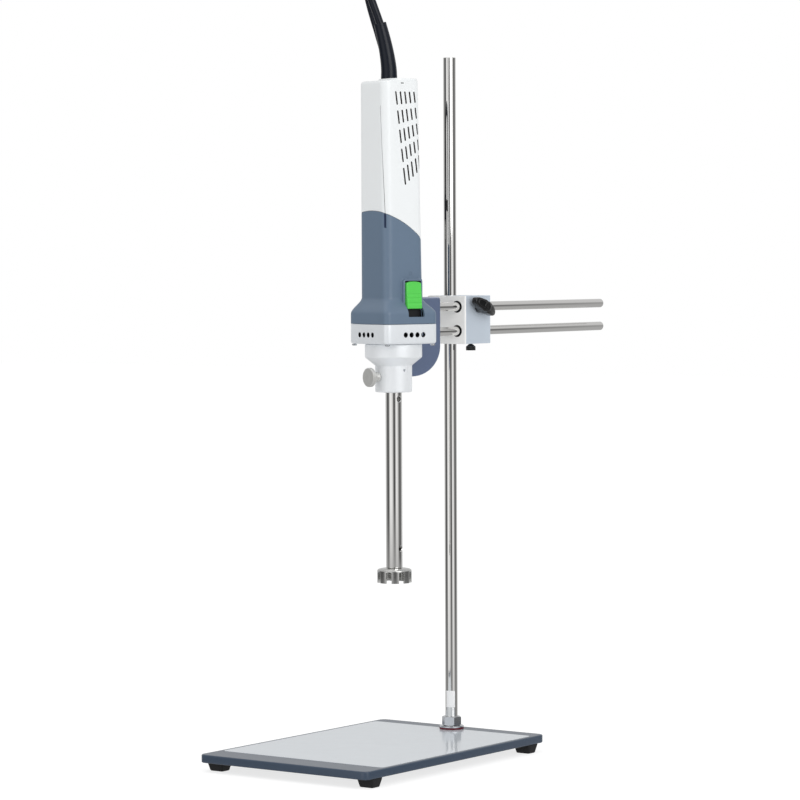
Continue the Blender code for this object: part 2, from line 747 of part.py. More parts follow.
def add_shells(drive):
    """White upper shell with its cap, grey lower shell with the switch pad, and the flange ring."""
    inner_top = BODY_TOP_Z - BODY_WALL
    upper = add(
        "upper_housing",
        loft([
            level(drive_outline(BODY_TOP_Z, 0.0, BODY_TOP_EDGE), BODY_TOP_Z),
            level(drive_outline(BODY_TOP_Z), BODY_TOP_Z - BODY_TOP_EDGE),
            seam_ring(0.0, GAP / 2),
            seam_ring(BODY_WALL, GAP / 2),
            level(drive_outline(inner_top, BODY_WALL), inner_top),
        ]),
        "housing_white", drive,
    )
    cap = rounded(
        (-CAP_LOW, -CAP_LOW), (BODY_HIGH_TOP - GAP, BODY_HIGH_TOP - GAP), CAP_CORNER,
    )
    cap_top = BODY_TOP_Z + CAP_HEIGHT
    join(upper, "cap", extrude(cap, "Z", BODY_TOP_Z - 0.001, cap_top), drive)
    cut(upper, "slots_front", slot_cutter(BODY_HIGH_TOP - BODY_CORNER, BODY_HIGH_BOTTOM + 0.002), drive)
    cut(upper, "slots_back", slot_cutter(-BODY_LOW - 0.002, -BODY_LOW + BODY_CORNER), drive)
    boot_hole = rod(BOOT_SPIGOT_RADIUS + GAP, inner_top - 0.002, cap_top + 0.002, MEDIUM)
    cut(upper, "boot_hole", boot_hole, drive, (0, BOOT_Y, 0))
    dial_x, dial_z = dial_centre()
    reach = math.sqrt(DIAL_RADIUS ** 2 - (inner_top - dial_z) ** 2) + 2 * GAP
    half_width = DIAL_WIDTH / 2 + GAP
    window = box(
        (dial_x - reach, dial_x + reach),
        (DIAL_Y - half_width, DIAL_Y + half_width),
        (inner_top - 0.002, cap_top + 0.002),
    )
    cut(upper, "dial_window", window, drive)
    notch = box(
        (BODY_HIGH_TOP - NOTCH_DEPTH, BODY_HIGH_TOP + 0.002),
        (NOTCH_Y - NOTCH_WIDTH / 2, NOTCH_Y + NOTCH_WIDTH / 2),
        (BODY_TOP_Z - NOTCH_HEIGHT, BODY_TOP_Z + GAP),
    )
    cut(upper, "edge_notch", notch, drive)

    heights = [FLARE_TOP_Z - (FLARE_TOP_Z - FLARE_BOTTOM_Z) * k / 5 for k in range(6)]
    bottom = RING_TOP_Z + GAP
    outer = [seam_ring(0.0, -GAP / 2)] + [level(flare_outline(z, 0.0), z) for z in heights]
    outer.append(level(flare_outline(bottom, 0.0), bottom))
    inner = [level(flare_outline(bottom, BODY_WALL), bottom)]
    inner += [level(flare_outline(z, BODY_WALL), z) for z in reversed(heights)]
    inner.append(seam_ring(BODY_WALL, -GAP / 2))
    lower = add("lower_housing", loft(outer + inner, closed=True), "housing_grey", drive)
    half = SWITCH_WIDTH / 2 + POCKET_MARGIN
    pad = rounded(
        (SWITCH_Y - half - PAD_MARGIN, bottom + 0.001),
        (SWITCH_Y + half + PAD_MARGIN, SWITCH_TOP_Z + POCKET_MARGIN + PAD_MARGIN), 0.003,
    )
    join(lower, "switch_pad", extrude(pad, "X", *PAD_X), drive)
    pocket = rounded(
        (SWITCH_Y - half, POCKET_BOTTOM_Z), (SWITCH_Y + half, SWITCH_TOP_Z + POCKET_MARGIN), 0.001,
        arcs=2,
    )
    cut(lower, "switch_pocket", extrude(pocket, "X", POCKET_FLOOR_X, RING_HALF + 0.004), drive)
    middle = (SWITCH_TOP_Z + SWITCH_BOTTOM_Z) / 2
    stem_half = STEM_SIZE / 2 + GAP
    passage = box(
        (PAD_X[0] - 0.003, POCKET_FLOOR_X + 0.002),
        (SWITCH_Y - stem_half, SWITCH_Y + stem_half),
        (middle - stem_half - SWITCH_TRAVEL, middle + stem_half),
    )
    cut(lower, "stem_passage", passage, drive)

    floor = RING_BOTTOM_Z + RING_WALL
    flange = add(
        "flange_ring",
        loft([
            level(square_outline(RING_HALF - 0.001, RING_CORNER - 0.001), RING_BOTTOM_Z),
            level(square_outline(RING_HALF, RING_CORNER), RING_BOTTOM_Z + 0.001),
            level(square_outline(RING_HALF, RING_CORNER), RING_TOP_Z),
            level(square_outline(RING_HALF - RING_WALL, RING_INNER_CORNER), RING_TOP_Z),
            level(square_outline(RING_HALF - RING_WALL, RING_INNER_CORNER), floor),
        ]),
        "aluminium", drive,
    )
    spigot_hole = rod(NOSE_SPIGOT_RADIUS + GAP, RING_BOTTOM_Z - 0.002, floor + 0.002, ROUND)
    cut(flange, "spigot_hole", spigot_hole, drive)
    span = (RING_VENT_COUNT - 1) * RING_VENT_PITCH / 2
    places = [RING_VENT_SHIFT - span + RING_VENT_PITCH * k for k in range(RING_VENT_COUNT)]
    for name, turn in (("vents_x", 0.0), ("vents_y", math.radians(90))):
        bodies = [
            extrude(
                circle(RING_VENT_RADIUS, VENT_SIDES, (y, RING_VENT_Z)),
                "X", -RING_HALF - 0.002, RING_HALF + 0.002,
            )
            for y in places
        ]
        cut(flange, name, merged(*bodies), drive, turn=(0, 0, turn))
    number = 0
    for side_x in (-1, 1):
        for side_y in (-1, 1):
            number += 1
            place = (side_x * RING_SCREW_SPREAD, side_y * RING_SCREW_SPREAD, RING_BOTTOM_Z)
            screw = solid_turned(
                [
                    (0, -GAP - 0.0016), (RING_SCREW_HEAD - 0.0008, -GAP - 0.0016),
                    (RING_SCREW_HEAD, -GAP - 0.0008), (RING_SCREW_HEAD, -GAP),
                    (0.0012, -GAP), (0.0012, 0.012), (0, 0.012),
                ],
                SMALL,
            )
            add(f"flange_screw_{number}", screw, "steel", drive, place)
            cut(flange, f"flange_hole_{number}", rod(0.0012 + GAP, -0.002, 0.0125, SMALL), drive, place)
    return upper, lower, flange


def add_nose(drive):
    """Nose with its bearing seat, the generator tube and the screw that locks it."""
    bearing_bottom = RING_BOTTOM_Z + RING_WALL - BEARING_WIDTH
    bore = TUBE_RADIUS + GAP
    stop = TUBE_TOP_Z + GAP
    top = RING_BOTTOM_Z - GAP
    nose = add(
        "nose",
        turned(
            [
                (bore, NECK_BOTTOM_Z), (NECK_RADIUS - 0.0015, NECK_BOTTOM_Z),
                (NECK_RADIUS - 0.0004, NECK_BOTTOM_Z + 0.0004), (NECK_RADIUS, NECK_BOTTOM_Z + 0.0015),
                (NECK_RADIUS, NOSE_CONE_BOTTOM_Z), (NOSE_RADIUS, NOSE_CONE_TOP_Z),
                (NOSE_RADIUS, top), (NOSE_SPIGOT_RADIUS, top),
                (NOSE_SPIGOT_RADIUS, RING_BOTTOM_Z + RING_WALL),
                (BEARING_RADIUS + GAP, RING_BOTTOM_Z + RING_WALL),
                (BEARING_RADIUS + GAP, bearing_bottom - GAP),
                (CHAMBER_RADIUS, bearing_bottom - GAP), (CHAMBER_RADIUS, stop), (bore, stop),
            ],
            FINE,
        ),
        "aluminium", drive,
    )
    pin = rod(PIN_HOLE_RADIUS, NECK_RADIUS - PIN_HOLE_DEPTH, NECK_RADIUS + 0.002, SMALL)
    cut(nose, "pin_hole", pin, drive, (0, 0, PIN_HOLE_Z), (0, math.radians(90), 0))

    quarter = math.radians(90)
    screw = solid_turned(
        [
            (0, TUBE_RADIUS + GAP), (STUD_RADIUS, TUBE_RADIUS + GAP), (STUD_RADIUS, NECK_RADIUS + GAP),
            (THUMB_COLLAR_RADIUS, NECK_RADIUS + GAP),
            (THUMB_COLLAR_RADIUS, THUMB_REACH - THUMB_HEAD_LENGTH),
            (THUMB_HEAD_RADIUS - 0.0006, THUMB_REACH - THUMB_HEAD_LENGTH),
            (THUMB_HEAD_RADIUS, THUMB_REACH - THUMB_HEAD_LENGTH + 0.0006),
            (THUMB_HEAD_RADIUS, THUMB_REACH - 0.0008), (THUMB_HEAD_RADIUS - 0.0008, THUMB_REACH),
            (0, THUMB_REACH),
        ],
        ROUND,
    )
    add("tube_lock_screw", screw, "steel", drive, (0, 0, THUMB_Z), (quarter, 0, 0))
    hole = rod(STUD_RADIUS + GAP, TUBE_RADIUS - 0.003, NECK_RADIUS + 0.002, SMALL)
    cut(nose, "thumb_hole", hole, drive, (0, 0, THUMB_Z), (quarter, 0, 0))

    tube = ring(TUBE_RADIUS - TUBE_WALL, TUBE_RADIUS, TUBE_BOTTOM_Z, TUBE_TOP_Z, ROUND)
    generator = add("generator_tube", tube, "chrome", drive)
    for number, (height, turn) in enumerate(TUBE_HOLES):
        round_hole = circle(TUBE_HOLE_RADIUS, SMALL, (0.0, height))
        hole = extrude(round_hole, "X", -1.5 * TUBE_RADIUS, 1.5 * TUBE_RADIUS)
        cut(generator, f"tube_hole_{number}", hole, drive, turn=(0, 0, turn))
    return nose


def add_workhead(drive, spindle):
    """Stator cage with open slots, its spigot in the tube, and the bladed rotor inside."""
    inner = HEAD_RADIUS - HEAD_WALL
    roof = HEAD_BOTTOM_Z + HEAD_SLOT_HEIGHT
    spigot = TUBE_RADIUS - TUBE_WALL - GAP
    bore = SHAFT_RADIUS + GAP
    seat = TUBE_BOTTOM_Z - GAP
    head = add(
        "stator_head",
        turned(
            [
                (bore, HEAD_TOP_Z + HEAD_SPIGOT_LENGTH), (spigot, HEAD_TOP_Z + HEAD_SPIGOT_LENGTH),
                (spigot, seat), (0.0115, seat), (0.0148, seat - 0.0007),
                (0.0161, roof + 0.0009), (HEAD_RADIUS, roof - 0.0002), (HEAD_RADIUS, HEAD_BOTTOM_Z),
                (inner, HEAD_BOTTOM_Z), (inner, roof), (bore, roof),
            ],
            FINE,
        ),
        "steel", drive,
    )
    pitch = math.tau / HEAD_LEGS
    slot = (pitch * inner - HEAD_LEG_WIDTH) / 2
    bodies = []
    for k in range(HEAD_LEGS):
        depth = (inner - 0.003, HEAD_RADIUS + 0.003)
        body = box(depth, (-slot, slot), (HEAD_BOTTOM_Z - 0.002, roof - 0.0008))
        middle = HEAD_FIRST_LEG + pitch * (k + 0.5)
        bmesh.ops.rotate(body, verts=body.verts, cent=(0, 0, 0), matrix=Matrix.Rotation(middle, 3, "Z"))
        bodies.append(body)
    cut(head, "head_slots", merged(*bodies), drive)

    radius = inner - ROTOR_CLEARANCE
    top = roof - GAP * 2
    rotor = add("rotor_head", rod(ROTOR_HUB_RADIUS, top - ROTOR_HEIGHT, top, MEDIUM), "steel", spindle)
    for k in range(ROTOR_BLADES // 2):
        blade = box(
            (-radius, radius), (-ROTOR_BLADE_WIDTH / 2, ROTOR_BLADE_WIDTH / 2),
            (top - ROTOR_HEIGHT + 0.0004, top - 0.0004),
        )
        join(rotor, f"blade_{k}", blade, spindle, turn=(0, 0, math.tau / ROTOR_BLADES * k))
    socket = rod(SHAFT_RADIUS + GAP, top - ROTOR_HEIGHT * 0.6, top + 0.002, SMALL)
    cut(rotor, "rotor_socket", socket, spindle)
    shaft_bottom = top - ROTOR_HEIGHT * 0.6 + GAP
    return shaft_bottom


def add_motor(drive, spindle, shaft_bottom):
    """Field, armature, commutator, brushes, fan, bearings, coupling and the shafts."""
    bore = SPINDLE_RADIUS + GAP
    bearing_z = RING_BOTTOM_Z + RING_WALL - BEARING_WIDTH
    bridge_top = BRIDGE_Z + BRIDGE_THICKNESS
    upper_bearing_z = bridge_top + GAP
    for name, height in (("lower_bearing", bearing_z), ("upper_bearing", upper_bearing_z)):
        groove = 0.0006
        profile = [
            (bore, 0), (0.006, 0), (0.006, groove), (0.0092, groove), (0.0092, 0), (BEARING_RADIUS, 0),
            (BEARING_RADIUS, BEARING_WIDTH), (0.0092, BEARING_WIDTH),
            (0.0092, BEARING_WIDTH - groove), (0.006, BEARING_WIDTH - groove),
            (0.006, BEARING_WIDTH), (bore, BEARING_WIDTH),
        ]
        add(name, turned(profile, MEDIUM), "steel", drive, (0, 0, height))

    spindle_top = upper_bearing_z + BEARING_WIDTH + 0.001
    add("spindle", rod(SPINDLE_RADIUS, SPINDLE_BOTTOM_Z, spindle_top, MEDIUM, 0.0004), "steel", spindle)

    coupling = add(
        "coupling",
        turned(
            [
                (SHAFT_RADIUS + GAP, TUBE_TOP_Z + 2 * GAP), (COUPLING_RADIUS, TUBE_TOP_Z + 2 * GAP),
                (COUPLING_RADIUS, bearing_z - 0.0012), (bore, bearing_z - 0.0012),
                (bore, SPINDLE_BOTTOM_Z - GAP), (SHAFT_RADIUS + GAP, SPINDLE_BOTTOM_Z - GAP),
            ],
            MEDIUM,
        ),
        "steel", spindle,
    )
    flat = box((-0.001, 0.001), (-0.01, 0.01), (TUBE_TOP_Z - 0.001, TUBE_TOP_Z + 0.0022))
    cut(coupling, "coupling_slot", flat, spindle)
    shaft_top = SPINDLE_BOTTOM_Z - GAP
    add("drive_shaft", rod(SHAFT_RADIUS, shaft_bottom, shaft_top, SMALL, 0.0003), "steel", spindle)

    bush_inner = SHAFT_RADIUS + GAP
    bush_outer = TUBE_RADIUS - TUBE_WALL - GAP
    for name, height in (("shaft_bush_upper", 0.348), ("shaft_bush_lower", 0.200)):
        add(name, ring(bush_inner, bush_outer, height, height + 0.012, MEDIUM), "ptfe", drive)

    fan_top = FAN_Z + FAN_HEIGHT
    fan = add("cooling_fan", ring(bore, FAN_HUB_RADIUS, FAN_Z, fan_top, ROUND), "black_plastic", spindle)
    disc = ring(bore + 0.0005, FAN_RADIUS, fan_top - FAN_DISC, fan_top - 0.0001, ROUND)
    join(fan, "fan_disc", disc, spindle)
    for k in range(FAN_BLADES):
        reach = (FAN_HUB_RADIUS - 0.001, FAN_RADIUS - 0.0005)
        blade = box(reach, (-0.0006, 0.0006), (FAN_Z + 0.0005, fan_top - 0.0005))
        join(fan, f"fan_blade_{k}", blade, spindle, turn=(0, 0, math.tau * k / FAN_BLADES))

    inset = BODY_WALL + GAP
    field = add(
        "motor_field",
        loft([level(drive_outline(FIELD_Z[1], inset, sides=1), z) for z in FIELD_Z]),
        "steel", drive,
    )
    cut(field, "field_bore", rod(FIELD_BORE, FIELD_Z[0] - 0.002, FIELD_Z[1] + 0.002, ROUND), drive)

    outline = []
    pitch = math.tau / ARMATURE_SLOTS
    mouth = ARMATURE_SLOT_WIDTH / 2 / ARMATURE_RADIUS
    for k in range(ARMATURE_SLOTS):
        middle = pitch * k
        outline += circle(ARMATURE_RADIUS, 4, start=middle + mouth, sweep=pitch - 2 * mouth)
        floor = ARMATURE_RADIUS - ARMATURE_SLOT_DEPTH
        after = middle + pitch
        side = ARMATURE_SLOT_WIDTH / 2 / floor
        outline += [
            (floor * math.cos(after - side), floor * math.sin(after - side)),
            (floor * math.cos(after + side), floor * math.sin(after + side)),
        ]
    armature = add("armature", extrude(outline, "Z", *FIELD_Z), "steel", spindle)
    cut(armature, "armature_bore", rod(bore, FIELD_Z[0] - 0.002, FIELD_Z[1] + 0.002, MEDIUM), spindle)
    commutator = ring(bore, COMMUTATOR_RADIUS, *COMMUTATOR_Z, MEDIUM)
    add("commutator", commutator, "copper", spindle)

    inside = drive_outline(bridge_top, BODY_WALL + GAP, sides=1)
    bridge = add("brush_bridge", extrude(inside, "Z", BRIDGE_Z, bridge_top), "black_plastic", drive)
    cup = ring(
        BEARING_RADIUS + GAP, BEARING_RADIUS + GAP + BEARING_CUP_WALL,
        bridge_top - 0.001, upper_bearing_z + BEARING_WIDTH * 0.8, ROUND,
    )
    join(bridge, "bearing_cup", cup, drive)
    cut(bridge, "bridge_bore", rod(0.0065, BRIDGE_Z - 0.002, bridge_top + 0.002, MEDIUM), drive)

    width, height = BRUSH_SIZE
    middle = (COMMUTATOR_Z[0] + COMMUTATOR_Z[1]) / 2
    outer_y = COMMUTATOR_RADIUS + GAP + BRUSH_LENGTH
    for name, side in (("front", -1), ("back", 1)):
        y = sorted((side * (COMMUTATOR_RADIUS + GAP), side * outer_y))
        add(
            f"brush_{name}",
            box((-width / 2, width / 2), y, (middle - height / 2, middle + height / 2)),
            "rubber", drive,
        )
        wall = HOLDER_WALL + GAP
        reach = sorted((side * (COMMUTATOR_RADIUS + 0.0015), side * (outer_y + 0.002)))
        holder = add(
            f"brush_holder_{name}",
            box((-width / 2 - wall, width / 2 + wall), reach, (middle - height / 2 - wall, BRIDGE_Z - GAP)),
            "copper", drive,
        )
        inside = sorted((side * COMMUTATOR_RADIUS, side * (outer_y + GAP)))
        channel = box(
            (-width / 2 - GAP, width / 2 + GAP), inside,
            (middle - height / 2 - GAP, middle + height / 2 + GAP),
        )
        cut(holder, f"brush_channel_{name}", channel, drive)

    board = drive_outline(BOARD_Z + BOARD_THICKNESS, BODY_WALL + GAP, sides=1)
    add("control_board", extrude(board, "Z", BOARD_Z, BOARD_Z + BOARD_THICKNESS), "board_green", drive)


def add_controls(drive):
    """Slide switch with its stem, the switch block behind it, and the speed dial with its pot."""
    switch = empty("switch_frame", drive)
    half = SWITCH_WIDTH / 2
    back = POCKET_FLOOR_X + GAP
    shoulder = SWITCH_TOP_Z - SWITCH_ARCH
    outline = [(SWITCH_Y - half, SWITCH_BOTTOM_Z), (SWITCH_Y + half, SWITCH_BOTTOM_Z)]
    for k in range(9):
        share = 1.0 - k / 4
        outline.append((SWITCH_Y + half * share, shoulder + SWITCH_ARCH * (1 - share ** 2) ** 0.5))
    block = extrude(outline, "X", back, SWITCH_FACE_BOTTOM + 0.0005)
    cap = add("power_switch", block, "switch_green", switch)
    slope = [
        (SWITCH_FACE_BOTTOM, SWITCH_BOTTOM_Z - 0.001), (SWITCH_FACE_TOP, SWITCH_TOP_Z + 0.001),
        (SWITCH_FACE_BOTTOM + 0.004, SWITCH_TOP_Z + 0.001),
        (SWITCH_FACE_BOTTOM + 0.004, SWITCH_BOTTOM_Z - 0.001),
    ]
    cut(cap, "switch_slope", extrude(slope, "Y", SWITCH_Y - half - 0.002, SWITCH_Y + half + 0.002), switch)
    fall = (SWITCH_FACE_BOTTOM - SWITCH_FACE_TOP) / (SWITCH_TOP_Z - SWITCH_BOTTOM_Z)
    grooves = [
        extrude(
            circle(SWITCH_GROOVE / 2, 8, (SWITCH_FACE_TOP + fall * (SWITCH_TOP_Z - z), z)),
            "Y", SWITCH_Y - half * 0.82, SWITCH_Y + half * 0.82,
        )
        for z in SWITCH_GROOVES_Z
    ]
    cut(cap, "switch_grooves", merged(*grooves), switch)
    middle = (SWITCH_TOP_Z + SWITCH_BOTTOM_Z) / 2
    stem_end = PAD_X[0] + GAP
    size = STEM_SIZE / 2
    stem = box((stem_end, back + 0.001), (SWITCH_Y - size, SWITCH_Y + size), (middle - size, middle + size))
    join(cap, "switch_stem", stem, switch)

    depth, width, height = BLOCK_SWITCH_SIZE
    block = box(
        (PAD_X[0] - GAP - depth, PAD_X[0] - GAP), (SWITCH_Y - width / 2, SWITCH_Y + width / 2),
        (middle - SWITCH_TRAVEL / 2 - height / 2, middle - SWITCH_TRAVEL / 2 + height / 2),
    )
    add("switch_block", block, "black_plastic", drive)

    dial_x, dial_z = dial_centre()
    dial_frame = empty("dial_frame", drive, (dial_x, DIAL_Y, dial_z), (math.radians(90), 0, 0))
    wheel = []
    for k in range(DIAL_TEETH * 2):
        radius = DIAL_RADIUS if k % 2 else DIAL_RADIUS - 0.0004
        angle = math.tau * k / (DIAL_TEETH * 2)
        wheel.append((radius * math.cos(angle), radius * math.sin(angle)))
    disc = extrude(wheel, "Z", -DIAL_WIDTH / 2, DIAL_WIDTH / 2)
    dial = add("speed_dial", disc, "housing_white", dial_frame)
    axle = rod(DIAL_AXLE_RADIUS, -DIAL_WIDTH / 2 - POT_DEPTH * 0.6, 0.0, SMALL)
    join(dial, "dial_axle", axle, dial_frame)

    board_top = BOARD_Z + BOARD_THICKNESS
    near = DIAL_Y + DIAL_WIDTH / 2 + GAP
    pot = add(
        "dial_potentiometer",
        box(
            (dial_x - POT_WIDTH / 2, dial_x + POT_WIDTH / 2), (near, near + POT_DEPTH),
            (board_top + GAP, BODY_TOP_Z - BODY_WALL - GAP),
        ),
        "black_plastic", drive,
    )
    socket = rod(DIAL_AXLE_RADIUS + GAP, -DIAL_WIDTH / 2 - POT_DEPTH, 0.0, SMALL)
    cut(pot, "pot_socket", socket, dial_frame)


def add_bracket(drive):
    """Bracket between the rods and the drive, hollowed to the drive's own outline, and its screws."""
    corner_y = BRACKET_BACK_Y
    sweep_y, sweep_z = BRACKET_CURVE
    centre = (corner_y - sweep_y, BRACKET_BOTTOM_Z + sweep_z)
    outline = [(0.0, BRACKET_TOP_Z), (0.0, BRACKET_BOTTOM_Z)]
    outline += [
        (centre[0] + sweep_y * math.sin(a), centre[1] - sweep_z * math.cos(a))
        for a in (math.radians(90) * k / 10 for k in range(11))
    ]
    outline.append((corner_y, BRACKET_TOP_Z))
    half = BRACKET_THICKNESS / 2
    bracket = add("bracket", extrude(outline, "X", ROD_X - half, ROD_X + half), "bracket_blue")
    bevel(bracket, BRACKET_BEVEL, 2, 40)
    seat = GAP
    heights = [FLARE_TOP_Z - (FLARE_TOP_Z - FLARE_BOTTOM_Z) * k / 5 for k in range(6)]
    envelope = [level(drive_outline(FLARE_TOP_Z, -seat), FLARE_TOP_Z + 0.01)]
    envelope += [level(flare_outline(z, -seat), z + seat) for z in heights]
    envelope.append(level(flare_outline(FLARE_BOTTOM_Z, -seat), RING_BOTTOM_Z - seat))
    cut(bracket, "shell_envelope", loft(envelope), drive)
    nose = solid_turned(
        [
            (0, BRACKET_BOTTOM_Z - 0.004), (NECK_RADIUS + seat, BRACKET_BOTTOM_Z - 0.004),
            (NECK_RADIUS + seat, NOSE_CONE_BOTTOM_Z - seat),
            (NOSE_RADIUS + seat, NOSE_CONE_TOP_Z - seat), (NOSE_RADIUS + seat, RING_TOP_Z),
            (0, RING_TOP_Z),
        ],
        FINE,
    )
    cut(bracket, "nose_envelope", nose, drive)

    rods = (("upper_rod", ROD_UPPER_Z), ("lower_rod", ROD_UPPER_Z - ROD_PITCH))
    along_y = (math.radians(-90), 0, 0)
    for name, height in rods:
        bar = rod(ROD_RADIUS, ROD_START_Y, ROD_END_Y, ROUND, ROD_CHAMFER)
        add(name, bar, "chrome", place=(ROD_X, 0, height), turn=along_y)
        hole = rod(ROD_RADIUS + GAP, ROD_START_Y - GAP, BRACKET_BACK_Y + 0.004, ROUND)
        cut(bracket, f"{name}_seat", hole, place=(ROD_X, 0, height), turn=along_y)
    return bracket, along_y


def add_bracket_screws(bracket, lower, nose, along_y):
    """Two socket screws from the bracket's back into the lower shell and the nose."""
    between = ROD_UPPER_Z - ROD_PITCH / 2
    into_nose = (NOSE_CONE_TOP_Z + RING_BOTTOM_Z) / 2
    upper_seat = BRACKET_BACK_Y - BRACKET_SCREW_SINK
    lower_seat = BRACKET_BACK_Y - 2 * BRACKET_SCREW_SINK
    for name, height, seat_y, tip_y, into in (
        ("bracket_screw_upper", between, upper_seat, RING_HALF - 0.0022, lower),
        ("bracket_screw_lower", into_nose, lower_seat, NOSE_RADIUS - 0.006, nose),
    ):
        screw = solid_turned(
            [
                (0, tip_y), (SCREW_RADIUS, tip_y), (SCREW_RADIUS, seat_y), (SCREW_HEAD_RADIUS, seat_y),
                (SCREW_HEAD_RADIUS, seat_y + SCREW_HEAD_LENGTH), (0.0015, seat_y + SCREW_HEAD_LENGTH),
                (0.0015, seat_y + 0.002), (0, seat_y + 0.002),
            ],
            SMALL,
        )
        place = (ROD_X, 0, height)
        add(name, screw, "steel", place=place, turn=along_y)
        sink = solid_turned(
            [
                (0, tip_y - 0.001), (SCREW_RADIUS + GAP, tip_y - 0.001),
                (SCREW_RADIUS + GAP, seat_y - GAP), (SCREW_HEAD_RADIUS + GAP, seat_y - GAP),
                (SCREW_HEAD_RADIUS + GAP, BRACKET_BACK_Y + 0.004), (0, BRACKET_BACK_Y + 0.004),
            ],
            SMALL,
        )
        cut(bracket, f"{name}_sink", sink, place=place, turn=along_y)
        hole = rod(SCREW_RADIUS + GAP, tip_y - GAP, seat_y - 0.01, SMALL)
        cut(into, f"{name}_hole", hole, place=place, turn=along_y)


def view_point(origin, left, away, up):
    """A point given by its offsets to the left, away and up, as seen from the switch side."""
    turn = VIEW_TURN
    return Vector((
        origin[0] - left * math.cos(turn) - away * math.sin(turn),
        origin[1] - left * math.sin(turn) + away * math.cos(turn),
        origin[2] + up,
    ))


def smooth_route(points, step):
    """Points about a step apart on a Catmull-Rom curve through the route."""
    route = [points[0] * 2 - points[1]] + points + [points[-1] * 2 - points[-2]]
    dense = []
    for a, b, c, d in zip(route, route[1:], route[2:], route[3:]):
        for k in range(24):
            t = k / 24
            dense.append(0.5 * (2 * b + (c - a) * t + (2 * a - 5 * b + 4 * c - d) * t ** 2
                                + (3 * b - a - 3 * c + d) * t ** 3))
    dense.append(points[-1])
    total = sum((q - p).length for p, q in zip(dense, dense[1:]))
    count = max(2, round(total / step))
    kept = [dense[0]]
    run = 0.0
    for p, q in zip(dense, dense[1:]):
        run += (q - p).length
        if run >= total / count * len(kept) and len(kept) < count:
            kept.append(q)
    kept.append(dense[-1])
    return kept


def add_curve(name, points, radii, finish, sides, parent=None):
    """A round bar along points, its radius given at each point."""
    curve = bpy.data.curves.new(name, "CURVE")
    curve.dimensions = "3D"
    curve.bevel_depth = 1.0
    curve.bevel_resolution = sides
    curve.use_fill_caps = True
    line = curve.splines.new("POLY")
    line.points.add(len(points) - 1)
    for item, point, radius in zip(line.points, points, radii):
        item.co = (*point, 1.0)
        item.radius = radius
    curve.materials.append(material(finish))
    made = bpy.data.objects.new(name, curve)
    bpy.context.scene.collection.objects.link(made)
    made.parent = parent
    return made


def add_boot(base, tip):
    """Tapering strain relief that leans with the lead, its spigot held in the cap's hole."""
    lean, _, height = tip
    spigot = -CAP_HEIGHT - BODY_WALL - BOOT_SPIGOT_LENGTH
    course = [(0.0, spigot, BOOT_SPIGOT_RADIUS), (0.0, GAP, BOOT_SPIGOT_RADIUS)]
    steps = 9
    for k in range(steps + 1):
        share = k / steps
        bend = max(0.0, share - 1 / steps) / (1 - 1 / steps)
        radius = BOOT_RADIUS + (BOOT_TIP_RADIUS - BOOT_RADIUS) * share
        course.append((lean * bend ** BOOT_BEND, GAP + (height - 2 * GAP) * share, radius))
    rings = []
    for k, (left, up, radius) in enumerate(course):
        before = course[max(k - 1, 0)]
        after = course[min(k + 1, len(course) - 1)]
        tilt = math.atan2(after[0] - before[0], after[1] - before[1]) if k > 3 else 0.0
        rings.append([
            view_point(base, left + u * math.cos(tilt), v, up - u * math.sin(tilt))
            for u, v in circle(radius, MEDIUM)
        ])
    add("strain_relief", loft(rings), "black_plastic")


